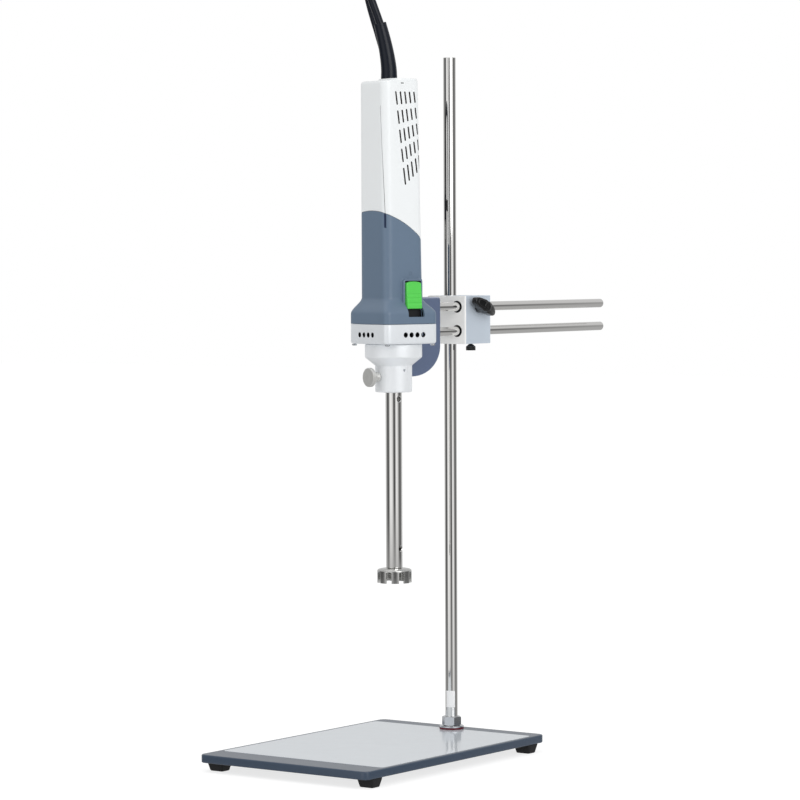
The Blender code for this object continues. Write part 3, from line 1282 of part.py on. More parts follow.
def add_lead():
    """Strain relief on the cap, the mains lead, its tied hank behind the drive, and the plug."""
    cap_top = BODY_TOP_Z + CAP_HEIGHT
    base = (
        DRIVE_X - BOOT_Y * math.sin(DRIVE_TURN),
        BOOT_Y * math.cos(DRIVE_TURN),
        cap_top,
    )
    add_boot(base, ROUTE[0])
    half = HANK_WIDTH / 2
    bottom = HANK_TOP_Z - HANK_LENGTH
    inner = half - 2 * CORD_RADIUS
    meet = HANK_TOP_Z - half + math.sqrt(half ** 2 - inner ** 2)
    end = (PLUG_SIDE, HANK_AWAY + half - CORD_RADIUS, meet + GAP - cap_top)
    route = [view_point(base, *point) for point in (*ROUTE, end)]
    tube = smooth_route(route, CORD_STEP)
    add_curve("cord_tube", tube, [CORD_RADIUS] * len(tube), "rubber", 4)

    hank_frame = empty(
        "hank_frame", place=view_point(base, 0.0, HANK_AWAY, -base[2]), turn=(0, 0, VIEW_TURN),
    )
    first = math.acos(inner / half)
    outline = [(half, HANK_TOP_Z - half), (half, meet)]
    outline += circle(half, 11, (0.0, HANK_TOP_Z - half), first, math.pi - first)
    outline += circle(half, 13, (0.0, bottom + half), math.pi, math.pi)
    thick = HANK_THICKNESS / 2
    add("cord_hank", extrude(outline, "X", -thick, thick), "rubber", hank_frame)

    middle = HANK_TOP_Z - HANK_LENGTH / 2
    loops = [
        rounded((-thick - e, -half - e), (thick + e, half + e), e, arcs=2)
        for e in (GAP, GAP + TIE_THICKNESS)
    ]
    limits = (middle - TIE_WIDTH / 2, middle + TIE_WIDTH / 2)
    rings = [level(loops[0], limits[0]), level(loops[1], limits[0])]
    rings += [level(loops[1], limits[1]), level(loops[0], limits[1])]
    add("cord_tie", loft(rings, closed=True), "black_plastic", hank_frame)

    face = PLUG_TOP_Z - PLUG_LENGTH
    near = half + GAP + CORD_RADIUS
    course = []
    for k in range(TAIL_STEPS + 1):
        share = k / TAIL_STEPS
        ease = share * share * (3 - 2 * share)
        drop = TAIL_TOP_Z - (TAIL_TOP_Z - PLUG_TOP_Z) * share
        course.append((near + (PLUG_ACROSS - near) * ease, drop, CORD_RADIUS))
    course += [
        (PLUG_ACROSS, PLUG_TOP_Z - 0.3 * PLUG_NECK, PLUG_RADIUS * 0.4),
        (PLUG_ACROSS, PLUG_TOP_Z - 0.8 * PLUG_NECK, PLUG_RADIUS * 0.7),
        (PLUG_ACROSS, PLUG_TOP_Z - PLUG_NECK, PLUG_RADIUS * 0.96),
        (PLUG_ACROSS, PLUG_TOP_Z - 1.15 * PLUG_NECK, PLUG_RADIUS),
        (PLUG_ACROSS, face, PLUG_RADIUS),
    ]
    rings = [[(PLUG_SIDE + u, y + v, z) for u, v in circle(radius, MEDIUM)] for y, z, radius in course]
    add("plug_body", loft(rings), "black_plastic", hank_frame)
    for number, side in enumerate((-1, 1)):
        pin = solid_turned(
            [
                (0, face - GAP), (PIN_RADIUS, face - GAP), (PIN_RADIUS, face - PIN_LENGTH + 0.001),
                (PIN_RADIUS - 0.001, face - PIN_LENGTH), (0, face - PIN_LENGTH),
            ],
            MEDIUM,
        )
        place = (PLUG_SIDE, PLUG_ACROSS + side * PIN_SPREAD, 0)
        add(f"plug_pin_{number + 1}", pin, "steel", hank_frame, place)


def clear_scene():
    """An empty scene to build in."""
    for item in list(bpy.data.objects):
        bpy.data.objects.remove(item, do_unlink=True)


def main():
    """Build the whole instrument."""
    clear_scene()
    column_frame = add_base()
    add_clamp(column_frame)
    drive = empty("drive_frame", place=(DRIVE_X, 0, 0), turn=(0, 0, DRIVE_TURN))
    spindle = empty("spindle_frame", drive)
    upper, lower, flange = add_shells(drive)
    nose = add_nose(drive)
    shaft_bottom = add_workhead(drive, spindle)
    add_motor(drive, spindle, shaft_bottom)
    add_controls(drive)
    bracket, along_y = add_bracket(drive)
    add_bracket_screws(bracket, lower, nose, along_y)
    add_lead()


main()
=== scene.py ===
"""Rotor stator homogenizer on its plate stand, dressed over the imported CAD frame."""
import math

import bmesh
import bpy
import numpy as np
from bpy.props import FloatProperty, FloatVectorProperty, IntProperty, PointerProperty
from mathutils import Matrix, Vector


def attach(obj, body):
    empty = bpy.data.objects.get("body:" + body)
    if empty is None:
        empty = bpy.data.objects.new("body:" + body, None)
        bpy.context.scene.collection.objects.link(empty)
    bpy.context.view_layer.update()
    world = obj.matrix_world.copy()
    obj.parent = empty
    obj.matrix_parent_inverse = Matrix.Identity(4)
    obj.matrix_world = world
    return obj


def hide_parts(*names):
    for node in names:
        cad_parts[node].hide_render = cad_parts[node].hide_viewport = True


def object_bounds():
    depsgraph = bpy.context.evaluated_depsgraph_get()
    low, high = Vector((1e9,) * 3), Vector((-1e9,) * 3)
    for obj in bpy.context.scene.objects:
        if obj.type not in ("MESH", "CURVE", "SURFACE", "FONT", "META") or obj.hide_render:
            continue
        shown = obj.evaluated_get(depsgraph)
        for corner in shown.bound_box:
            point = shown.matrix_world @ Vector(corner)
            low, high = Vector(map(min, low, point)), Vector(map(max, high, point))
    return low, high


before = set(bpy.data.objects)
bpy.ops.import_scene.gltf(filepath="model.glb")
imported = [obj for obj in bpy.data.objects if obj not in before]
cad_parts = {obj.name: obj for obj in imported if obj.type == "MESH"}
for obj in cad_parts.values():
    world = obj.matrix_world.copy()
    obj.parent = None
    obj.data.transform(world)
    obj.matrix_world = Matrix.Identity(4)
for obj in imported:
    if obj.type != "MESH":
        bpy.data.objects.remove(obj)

bl_info = {
    "name": "Rotor stator homogenizer",
    "version": (1, 0, 0),
    "blender": (4, 5, 0),
    "location": "View3D > Sidebar > Homogenizer",
    "description": "Builds the stand, clamp, drive, workhead and lead of a lab homogenizer",
    "category": "Add Mesh",
}

GAP = 0.0003
CAD_BOX = [list(corner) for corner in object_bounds()]

# Heights over the panel, which the CAD solids share
HEAD_BOTTOM = 0.1596
HEAD_ROOF = 0.1716
TUBE_BOTTOM = 0.1740
NOSE_BOTTOM = 0.3446
CONE_BOTTOM = 0.3704
CONE_TOP = 0.3784
BLOCK_BOTTOM = 0.3885
BLOCK_TOP = 0.4364
RING_BOTTOM = 0.3915
RING_TOP = 0.4105
SHELL_BOTTOM = 0.4108
TAPER_BOTTOM = 0.4353
FLARE_TOP = 0.4365
FLARE_DEPTH = 0.0174
SEAM_TOP = 0.520
PLUG_FACE = 0.514
PLUG_TAIL = 0.549
NOSE_SCREW = (CONE_TOP + RING_BOTTOM) / 2

# Places and turns in plan
DRIVE_SIDE = 0.024
DRIVE_TURN = -17.8
LEAD_BACK = 0.004
SIGHT_TURN = 35.8
HANK_AWAY = 0.074
PLUG_SIDE = 0.055
BLOCK_LEFT = -0.012
BLOCK_RIGHT = 0.034
BLOCK_HALF = 0.0225

# Fits that two pieces share
RING_CORNER = 0.006
BUSH_WALL = 0.0012
BUSH_FOOT_RADIUS = 0.0095
BUSH_FOOT = 0.0015
STUD_RADIUS = 0.0025
SCREW_RADIUS = 0.0020
BOOT_HEIGHT = 0.0535
BOOT_LEAN = 0.0086


def linear(code):
    """sRGB hex code to linear red, green and blue."""
    value = np.array([int(code[k:k + 2], 16) for k in (1, 3, 5)]) / 255.0
    return tuple(np.where(value <= 0.04045, value / 12.92, ((value + 0.055) / 1.055) ** 2.4).tolist())


def size(name, text, default):
    """A length that the user may change."""
    return FloatProperty(name=name, description=text, default=default, unit="LENGTH", subtype="DISTANCE",
                         precision=5)


def colour(name, text, code):
    """A colour that the user may change."""
    return FloatVectorProperty(name=name, description=text, default=linear(code), subtype="COLOR", size=3,
                               min=0.0, max=1.0)


class HomogenizerStand(bpy.types.PropertyGroup):
    """Sizes of the plate, its panel and feet, and the column."""

    plate_length: size("Plate length", "Plate from front to back", 0.300)
    plate_width: size("Plate width", "Plate from side to side", 0.200)
    plate_thickness: size("Plate thickness", "Thickness of the painted plate", 0.008)
    plate_corner: size("Plate corner", "Radius of the plate's corners", 0.007)
    panel_side: size("Panel side margin", "Painted rim beside the panel", 0.0045)
    panel_front: size("Panel front margin", "Painted rim before the panel", 0.031)
    panel_back: size("Panel back margin", "Painted rim behind the panel", 0.019)
    panel_thickness: size("Panel thickness", "Thickness of the inlaid panel", 0.0015)
    foot_height: size("Foot height", "Height of the rubber feet", 0.009)
    column_radius: size("Column radius", "Radius of the upright bar", 0.00625)
    column_top: size("Column top", "Height of the column's end over the panel", 0.674)
    column_back: size("Column inset", "Column from the plate's back edge", 0.0196)
    nut_flats: size("Nut width", "Hexagon nut across its flats", 0.0172)
    nut_height: size("Nut height", "Height of the hexagon nut", 0.009)


class HomogenizerArm(bpy.types.PropertyGroup):
    """Sizes of the clamp block, its knobs, the two rods and the bracket."""

    rod_radius: size("Rod radius", "Radius of the two horizontal rods", 0.0045)
    rod_side: size("Rod offset", "Rods beside the plate's middle", 0.0238)
    rod_height: size("Upper rod height", "Height of the upper rod over the panel", 0.4255)
    rod_pitch: size("Rod pitch", "Height between the rods", 0.0241)
    knob_radius: size("Knob reach", "Length of a knob's wing from its stud", 0.0172)
    knob_waist: size("Knob waist", "Half width of a knob's wing", 0.0058)
    knob_turn: FloatProperty(name="Knob turn", description="Turn of the wing round its stud, in degrees",
                             default=67.0, min=-180.0, max=180.0)
    bracket_width: size("Bracket width", "Width of the bracket plate", 0.016)
    # The pale band along this round edge is a painted highlight.
    bracket_bevel: size("Bracket edge", "Radius of the bracket's worn edge", 0.0018)


class HomogenizerDrive(bpy.types.PropertyGroup):
    """Sizes of the drive's shells, ring and nose."""

    body_top: size("Body top", "Height of the shell's top over the panel", 0.6444)
    cap_height: size("Cap height", "Height of the cap that holds the lead", 0.0023)
    low_face: size("Straight faces", "Upright faces from the drive's middle", 0.02405)
    high_bottom: size("Taper bottom", "Tapered faces from the middle, at the flare", 0.0221)
    high_top: size("Taper top", "Tapered faces from the middle, at the top", 0.0196)
    corner: size("Body corner", "Radius of the shells' upright edges", 0.008)
    wall: size("Wall", "Thickness of the moulded shells", 0.0025)
    ring_half: size("Ring half width", "Half width of the square ring", 0.0312)
    nose_radius: size("Nose radius", "Radius of the nose below the ring", 0.0277)
    neck_radius: size("Neck radius", "Radius of the neck that holds the tube", 0.0179)
    tube_radius: size("Tube radius", "Radius of the generator tube", 0.008)
    slot_columns: IntProperty(name="Slot columns", description="Columns of air slots on a face", default=5,
                              min=1, max=8)
    slot_rows: IntProperty(name="Slot rows", description="Rows of air slots on a face", default=5,
                           min=1, max=8)


class HomogenizerHead(bpy.types.PropertyGroup):
    """Sizes of the workhead and its rotor."""

    radius: size("Workhead radius", "Radius of the slotted cage", 0.0167)
    wall: size("Leg thickness", "Thickness of the cage's legs", 0.0025)
    leg_width: size("Leg width", "Width of a leg round the cage", 0.0054)
    legs: IntProperty(name="Legs", description="Number of legs of the cage", default=8, min=4, max=16)
    blades: IntProperty(name="Rotor blades", description="Blades of the rotor, an even number", default=4,
                        min=2, max=8)


class HomogenizerLead(bpy.types.PropertyGroup):
    """Sizes of the mains lead, its strain relief, hank and plug."""

    length: size("Lead length", "Real length of the mains lead", 1.75)
    radius: size("Lead radius", "Radius of the lead's sheath", 0.00375)
    boot_radius: size("Relief radius", "Radius of the strain relief at the cap", 0.0079)
    boot_tip: size("Relief tip radius", "Radius of the strain relief at its tip", 0.0060)
    hank_top: size("Hank top", "Height of the hank's top over the panel", 0.640)
    hank_length: size("Hank length", "Length of the tied hank", 0.2175)
    hank_width: size("Hank width", "Width of the tied hank", 0.0675)


class HomogenizerFinish(bpy.types.PropertyGroup):
    """Colours of the finishes."""

    plate: colour("Plate paint", "Powder coat of the plate", "#36465A")
    panel: colour("Panel", "Gloss enamel of the inlaid panel", "#D2D9E0")
    white: colour("Upper shell", "White moulded shell", "#F0F3F4")
    slate: colour("Lower shell", "Slate grey moulded shell", "#65788D")
    switch: colour("Switch", "Green slide switch", "#56D152")
    bracket: colour("Bracket", "Blue grey paint of the bracket", "#5A6885")
    block: colour("Clamp block", "Anodised aluminium of the clamp block", "#DCE7F3")
    gasket: colour("Gasket", "Red fibre gasket", "#6E0F24")
    lead: colour("Lead", "Sheath of the lead and its strain relief", "#0A111E")


class HomogenizerStudio(bpy.types.PropertyGroup):
    """Levels of the plain studio light."""

    soft: FloatProperty(name="Soft light", description="Level of the even light from all round", default=0.78,
                        min=0.0, max=2.0)
    key: FloatProperty(name="Key light", description="Power of the large lamp at the right, in watts",
                       default=20.0, min=0.0, max=500.0)
    fill: FloatProperty(name="Top light", description="Power of the large lamp overhead, in watts",
                        default=10.0, min=0.0, max=500.0)


def settings(part):
    """The scene's sizes for one part of the instrument."""
    return getattr(bpy.context.scene, f"homogenizer_{part}")


def column_place():
    """Frame of the column: Z runs along the bar, and the origin is at the panel's height."""
    stand = settings("stand")
    return Matrix.Translation((0.0, stand.plate_length / 2 - stand.column_back, 0.0))


def drive_place():
    """Frame of the drive: Z runs along the spindle, X points to the switch."""
    return Matrix.Translation((DRIVE_SIDE, 0.0, 0.0)) @ Matrix.Rotation(math.radians(DRIVE_TURN), 4, "Z")


def hank_place():
    """Frame of the hidden part of the lead: Y runs away along the photograph's line of sight."""
    turn = math.radians(SIGHT_TURN)
    base = drive_place() @ Vector((0.0, -LEAD_BACK, 0.0))
    shift = (base.x - HANK_AWAY * math.sin(turn), base.y + HANK_AWAY * math.cos(turn), 0.0)
    return Matrix.Translation(shift) @ Matrix.Rotation(turn, 4, "Z")


# Surfaces


def section(low, high, radius, straight=6, arc=10):
    """Rectangle with round corners: quarter circles about four centres, and even points between them."""
    (x0, y0), (x1, y1) = low, high
    centres = np.array([
        (x1 - radius, y1 - radius), (x0 + radius, y1 - radius),
        (x0 + radius, y0 + radius), (x1 - radius, y0 + radius),
    ])
    turn = np.arange(4)[:, None] * np.pi / 2 + np.linspace(0.0, np.pi / 2, arc + 1)
    corners = centres[:, None] + radius * np.stack([np.cos(turn), np.sin(turn)], axis=-1)
    share = np.arange(1, straight)[None, :, None] / straight
    sides = corners[:, -1:] * (1 - share) + np.roll(corners, -1, axis=0)[:, :1] * share
    return np.concatenate([corners, sides], axis=1).reshape(-1, 2)


def eased(profile, reach, steps=4, closed=False):
    """Each corner gives way to a parabola between the points a reach before and after it."""
    points = np.asarray(profile, dtype=float)
    back = np.roll(points, 1, axis=0) - points
    ahead = np.roll(points, -1, axis=0) - points
    reach = np.broadcast_to(np.asarray(reach, dtype=float), len(points)).copy()
    if not closed:
        reach[[0, -1]] = 0.0
    back_length = np.maximum(np.linalg.norm(back, axis=1), 1e-9)
    ahead_length = np.maximum(np.linalg.norm(ahead, axis=1), 1e-9)
    start = points + back * (np.minimum(reach, 0.48 * back_length) / back_length)[:, None]
    end = points + ahead * (np.minimum(reach, 0.48 * ahead_length) / ahead_length)[:, None]
    t = np.linspace(0.0, 1.0, steps + 1)[None, :, None]
    curve = (1 - t) ** 2 * start[:, None] + 2 * t * (1 - t) * points[:, None] + t ** 2 * end[:, None]
    return curve.reshape(-1, 2)


def turned(profile, count=96):
    """Surface of revolution about Z: the profile's radius and height at every angle."""
    angle = np.arange(count) * math.tau / count
    radius = profile[:, :1]
    height = np.broadcast_to(profile[:, 1:], (len(profile), count))
    return np.stack([radius * np.cos(angle), radius * np.sin(angle), height], axis=-1)


def stacked(outlines, heights):
    """Flat outlines laid at their heights, one row each."""
    outlines = np.asarray(outlines)
    level = np.broadcast_to(np.asarray(heights, dtype=float)[:, None, None], outlines.shape[:2] + (1,))
    return np.concatenate([outlines, level], axis=-1)


def capped(grid):
    """The grid with each open end drawn to the end's own middle."""
    first = np.broadcast_to(grid[0].mean(axis=0), grid[0].shape)
    last = np.broadcast_to(grid[-1].mean(axis=0), grid[-1].shape)
    return np.concatenate([first[None], grid, last[None]])


def prism(outline, start, end):
    """A prism along X: the outline's points are side and height, and both ends are closed."""
    return capped(stacked([outline, outline], [start, end]))[..., [2, 0, 1]]


def placed(grid, matrix):
    """The grid's points carried by a matrix."""
    turn = np.array(matrix)
    return grid @ turn[:3, :3].T + turn[:3, 3]


def swept(path, radii, across, count=24):
    """Tube: a circle about each point of the path, square to the path's own direction."""
    ahead = np.gradient(path, axis=0)
    ahead /= np.linalg.norm(ahead, axis=1)[:, None]
    side = np.cross(ahead, across)
    side /= np.linalg.norm(side, axis=1)[:, None]
    rise = np.cross(side, ahead)
    angle = np.arange(count)[None, :, None] * math.tau / count
    ring = np.cos(angle) * side[:, None] + np.sin(angle) * rise[:, None]
    return path[:, None] + np.asarray(radii)[:, None, None] * ring


def even(path, step):
    """Points a step apart along a polyline, by its running length."""
    run = np.concatenate([[0.0], np.cumsum(np.linalg.norm(np.diff(path, axis=0), axis=1))])
    marks = np.linspace(0.0, run[-1], max(2, round(run[-1] / step)) + 1)
    return np.stack([np.interp(marks, run, path[:, k]) for k in range(path.shape[1])], axis=-1)


def flowing(points, parts=24):
    """Catmull-Rom curve through the points: a cubic between neighbours with their mean slopes."""
    p = np.concatenate([points[:1] * 2 - points[1:2], points, points[-1:] * 2 - points[-2:-1]])
    a, b, c, d = (p[k:len(p) - 3 + k, None] for k in range(4))
    t = (np.arange(parts) / parts)[None, :, None]
    slope, bow, twist = c - a, 2 * a - 5 * b + 4 * c - d, 3 * b - a - 3 * c + d
    curve = 0.5 * (2 * b + slope * t + bow * t ** 2 + twist * t ** 3)
    return np.concatenate([curve.reshape(-1, points.shape[1]), points[-1:]])


# Pieces


def solid(name, grids, closed=False):
    """One mesh of several grids, each joined round its columns, and round its rows where closed."""
    vertices, faces, offset = [], [], 0
    for grid in grids:
        rows, columns = grid.shape[:2]
        down = np.arange(rows if closed else rows - 1)[:, None]
        along = np.arange(columns)[None, :]
        below, beside = (down + 1) % rows, (along + 1) % columns
        quads = [
            down * columns + along, down * columns + beside,
            below * columns + beside, below * columns + along,
        ]
        faces.append(np.stack(quads, axis=-1).reshape(-1, 4) + offset)
        vertices.append(grid.reshape(-1, 3))
        offset += rows * columns
    mesh = bpy.data.meshes.new(name)
    mesh.from_pydata(np.concatenate(vertices).tolist(), [], np.concatenate(faces).tolist())
    shape = bmesh.new()
    shape.from_mesh(mesh)
    bmesh.ops.remove_doubles(shape, verts=shape.verts, dist=2e-6)
    bmesh.ops.dissolve_degenerate(shape, edges=shape.edges, dist=1e-7)
    bmesh.ops.recalc_face_normals(shape, faces=shape.faces)
    shape.to_mesh(mesh)
    shape.free()
    made = bpy.data.objects.new(name, mesh)
    bpy.context.scene.collection.objects.link(made)
    return made


def smooth(piece, angle=32):
    """Round faces shaded smooth, with sharp edges kept."""
    piece.data.shade_smooth()
    piece.data.set_sharp_from_angle(angle=math.radians(angle))


def baked(piece):
    """The piece's modifiers made part of its mesh."""
    bpy.context.view_layer.update()
    graph = bpy.context.evaluated_depsgraph_get()
    mesh = bpy.data.meshes.new_from_object(piece.evaluated_get(graph))
    old = piece.data
    piece.modifiers.clear()
    piece.data = mesh
    bpy.data.meshes.remove(old)
    mesh.name = piece.name


def carved(piece, cuts=(), joins=()):
    """Material added to and then taken off the piece by tools that are thrown away."""
    for tools, operation in ((joins, "UNION"), (cuts, "DIFFERENCE")):
        for tool in tools:
            step = piece.modifiers.new(tool.name, "BOOLEAN")
            step.operation = operation
            step.solver = "EXACT"
            step.object = tool
    baked(piece)
    for tool in (*joins, *cuts):
        mesh = tool.data
        bpy.data.objects.remove(tool)
        bpy.data.meshes.remove(mesh)


def finished(piece, made, body, nodes=(), angle=32):
    """The piece with its material, its body and the CAD nodes that it stands for."""
    smooth(piece, angle)
    piece.data.materials.clear()
    piece.data.materials.append(made)
    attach(piece, body)
    if nodes:
        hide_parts(*nodes)
    return piece


def face_places(piece, place):
    """Middles and directions of the piece's faces, as a frame sees them."""
    mesh = piece.data
    middle = np.empty(len(mesh.polygons) * 3)
    mesh.polygons.foreach_get("center", middle)
    facing = np.empty(len(mesh.polygons) * 3)
    mesh.polygons.foreach_get("normal", facing)
    back = np.array(place.inverted())
    return placed(middle.reshape(-1, 3), back), facing.reshape(-1, 3) @ back[:3, :3].T


def depth_within(spot, low, high, radius):
    """How deep points lie inside a rectangle with round corners: their distance to its outline."""
    half = (np.asarray(high) - low) / 2
    beyond = np.abs(spot[:, :2] - (np.asarray(high) + low) / 2) - half + radius
    outside = np.hypot(*np.maximum(beyond, 0.0).T)
    return radius - outside - np.minimum(beyond.max(axis=1), 0.0)


def coated(piece, made, chosen):
    """Another material on the chosen faces of the piece."""
    mesh = piece.data
    index = np.zeros(len(mesh.polygons), dtype=np.int32)
    mesh.polygons.foreach_get("material_index", index)
    index[chosen] = len(mesh.materials)
    mesh.materials.append(made)
    mesh.polygons.foreach_set("material_index", index)


def bar(radius, start, end, ease=0.0, count=48):
    """A round bar along Z with eased ends, and a ring in each end face that keeps its middle flat."""
    flat = radius - 2 * ease - 0.0001
    profile = [(0.0, start), (flat, start), (radius, start), (radius, end), (flat, end), (0.0, end)]
    return turned(eased(profile, [0, 0, ease, ease, 0, 0], 5), count)


def slab(low, high, radius, bottom, top, ease, straight=1, arc=7):
    """A plate with round corners: outlines drawn in towards both faces by a quarter of a circle."""
    t = np.linspace(0.0, np.pi / 2, 6)
    flat = [ease + 0.0002]
    inset = np.concatenate([flat, ease * (1 - np.sin(t)), ease * (1 - np.cos(t)), flat])
    height = np.concatenate([[bottom], bottom + ease * (1 - np.cos(t)), top - ease * (1 - np.sin(t)), [top]])
    rows = [
        section((low[0] + e, low[1] + e), (high[0] - e, high[1] - e), max(radius - e, 1e-5), straight, arc)
        for e in inset
    ]
    return capped(stacked(rows, height))


# Finishes


def add_node(tree, kind, inputs=None, **options):
    """Adds a node, sets its options, and gives its inputs values or links."""
    made = tree.nodes.new(kind)
    for key, value in options.items():
        setattr(made, key, value)
    for key, value in (inputs or {}).items():
        socket = made.inputs[key]
        if isinstance(value, bpy.types.NodeSocket):
            tree.links.new(value, socket)
        else:
            socket.default_value = value
    return made


def grain(tree, spot, stretch=(1.0, 1.0, 1.0)):
    """A pattern of spots that are this wide in metres, drawn out along an axis."""
    place = add_node(tree, "ShaderNodeTexCoord")
    scale = tuple(1.0 / spot / factor for factor in stretch)
    spread = add_node(tree, "ShaderNodeMapping", {"Vector": place.outputs["Object"], "Scale": scale})
    spots = add_node(tree, "ShaderNodeTexNoise", {"Vector": spread.outputs[0], "Scale": 1.0, "Detail": 2.0})
    return spots.outputs["Fac"]


def finish(name, tint, rough, metallic=0.0, spot=0.001, stretch=(1.0, 1.0, 1.0), swing=0.05, shade=0.04,
           depth=0.0, fixed=None):
    """A material whose roughness swings, colour shades and surface rises with one grain pattern."""
    found = bpy.data.materials.get(name)
    if found:
        return found
    made = bpy.data.materials.new(name)
    made.use_nodes = True
    tree = made.node_tree
    shader = tree.nodes["Principled BSDF"]
    fine = grain(tree, spot, stretch)
    broad = grain(tree, 0.030)
    uneven = add_node(tree, "ShaderNodeMapRange", {
        "Value": fine, "To Min": max(rough - swing, 0.02), "To Max": rough + swing,
    })
    tree.links.new(uneven.outputs[0], shader.inputs["Roughness"])
    dark = tuple(channel * (1.0 - shade) for channel in tint) + (1.0,)
    light = tuple(min(1.0, channel * (1.0 + shade)) for channel in tint) + (1.0,)
    mixed = add_node(tree, "ShaderNodeMix", {0: broad, 6: dark, 7: light}, data_type="RGBA")
    tree.links.new(mixed.outputs[2], shader.inputs["Base Color"])
    if depth:
        bump = add_node(tree, "ShaderNodeBump", {"Height": fine, "Strength": 1.0, "Distance": depth})
        tree.links.new(bump.outputs[0], shader.inputs["Normal"])
    shader.inputs["Metallic"].default_value = metallic
    for key, value in (fixed or {}).items():
        shader.inputs[key].default_value = value
    return made


def paint_plate():
    """Powder coated steel: a thick satin film with a fine orange peel, which shines at a low angle."""
    return finish("powder_coated_steel", tuple(settings("finish").plate), 0.46, spot=0.0012, swing=0.06,
                  depth=0.00004, fixed={"IOR": 1.45, "Coat Weight": 0.6, "Coat Roughness": 0.2})


def enamel_panel():
    """Gloss enamelled sheet: rolled flat, so it mirrors the room at a low angle with a faint wave."""
    return finish("gloss_enamel_sheet", tuple(settings("finish").panel), 0.16, spot=0.020, swing=0.03,
                  shade=0.02, depth=0.00003, fixed={"IOR": 1.5, "Coat Weight": 0.4, "Coat Roughness": 0.08})


def rubber():
    """Moulded rubber: dull, with a fine mould texture."""
    return finish("moulded_rubber", linear("#17181B"), 0.62, spot=0.0006, swing=0.08, depth=0.00005)


def chrome(axis):
    """Chrome plated steel, ground along its length: a mirror with faint lines along the bar."""
    stretch = {"Y": (1.0, 60.0, 1.0), "Z": (1.0, 1.0, 60.0)}[axis]
    return finish(f"chrome_plated_steel_{axis.lower()}", linear("#F0EFED"), 0.06, 1.0, spot=0.0004,
                  stretch=stretch, swing=0.025, shade=0.015)


def turned_steel():
    """Turned stainless steel: bright, with fine rings from the tool."""
    return finish("turned_stainless_steel", linear("#D2D2D0"), 0.2, 1.0, spot=0.0005,
                  stretch=(12.0, 12.0, 1.0), swing=0.06, shade=0.03)


def zinc_steel():
    """Zinc plated steel: pale and slightly blue, a little cloudy."""
    return finish("zinc_plated_steel", linear("#D3D6DA"), 0.24, 1.0, spot=0.003, swing=0.04, shade=0.03)


def nickel_brass():
    """Nickel plated brass: warm grey and soft, from a matt bath."""
    return finish("nickel_plated_brass", linear("#DBDBD8"), 0.34, 0.6, spot=0.0008, swing=0.06, shade=0.04)


def anodised_block():
    """Anodised aluminium, milled: satin and pale, with lines across from the cutter."""
    return finish("anodised_aluminium", tuple(settings("finish").block), 0.34, 0.35, spot=0.0005,
                  stretch=(1.0, 30.0, 1.0), swing=0.06, shade=0.03, depth=0.00001)


def cast_ring():
    """Die cast aluminium, sprayed silver: a fine metal flake under a satin coat."""
    return finish("silver_sprayed_die_casting", linear("#EEF2F6"), 0.36, 0.25, spot=0.0005, swing=0.08,
                  shade=0.02, depth=0.000015)


def blasted_nose():
    """Bead blasted aluminium: an even soft sheen without lines."""
    return finish("bead_blasted_aluminium", linear("#F4F7FA"), 0.4, 0.25, spot=0.0004, swing=0.05,
                  shade=0.015, depth=0.00002)


def white_shell():
    """Moulded ABS, white: glossy with a very fine spark texture."""
    return finish("moulded_abs_white", tuple(settings("finish").white), 0.3, spot=0.0007, swing=0.04,
                  shade=0.008, depth=0.00001, fixed={"IOR": 1.52})


def slate_shell():
    """Moulded ABS, slate grey: satin, with soft highlights on its round edges."""
    return finish("moulded_abs_slate", tuple(settings("finish").slate), 0.36, spot=0.0007, swing=0.05,
                  shade=0.03, depth=0.00002, fixed={"IOR": 1.52})


def green_switch():
    """Moulded nylon, bright green: satin, its ribs polished by the thumb."""
    return finish("moulded_nylon_green", tuple(settings("finish").switch), 0.34, spot=0.0005, swing=0.05,
                  shade=0.02, depth=0.00001, fixed={"IOR": 1.53})


def blue_paint():
    """Sprayed enamel over cast aluminium: satin and even."""
    return finish("sprayed_enamel_blue_grey", tuple(settings("finish").bracket), 0.4, spot=0.001, swing=0.06,
                  shade=0.03, depth=0.00003, fixed={"IOR": 1.5})


def edge_highlight_enamel():
    """Painted highlight on the enamel along an edge: paler and smoother."""
    return finish("worn_enamel_blue_grey", linear("#B4BBCE"), 0.3, spot=0.001, swing=0.06, shade=0.06)


def black_phenolic():
    """Pressed phenolic resin: black and glossy, softly rounded."""
    return finish("pressed_phenolic_black", linear("#08090B"), 0.2, spot=0.0012, swing=0.05, shade=0.1,
                  fixed={"IOR": 1.6})


def pvc_sheath():
    """Extruded soft PVC: blue black with a silky sheen along it."""
    return finish("extruded_pvc_black", tuple(settings("finish").lead), 0.3, spot=0.0008, swing=0.05,
                  shade=0.08, depth=0.00001, fixed={"IOR": 1.45, "Specular IOR Level": 0.4})


def red_fibre():
    """Vulcanised fibre washer: dull dark red with short fibres."""
    return finish("vulcanised_fibre_red", tuple(settings("finish").gasket), 0.55, spot=0.0006,
                  stretch=(3.0, 1.0, 1.0), swing=0.1, shade=0.1, depth=0.00003)


def dark_painted_shade():
    """Painted shade: a nearly black, dull colour on walls inside the shells and bores, where only shade
    falls.
    """
    return finish("sprayed_graphite_paint", linear("#1B1C20"), 0.6, spot=0.001, swing=0.08, shade=0.1)


def groove_shade():
    """Moulded ABS at the floor of the parting groove: the slate shell in its own deep shadow."""
    return finish("moulded_abs_groove", linear("#2C3E5C"), 0.6, spot=0.001, swing=0.08, shade=0.08)


def shaded_wall():
    """Moulded ABS inside the shell, darkened as painted shade where the air slots look in: warm dark grey and
    dull.
    """
    return finish("moulded_abs_inner_wall", linear("#57524E"), 0.6, spot=0.001, swing=0.08, shade=0.08)


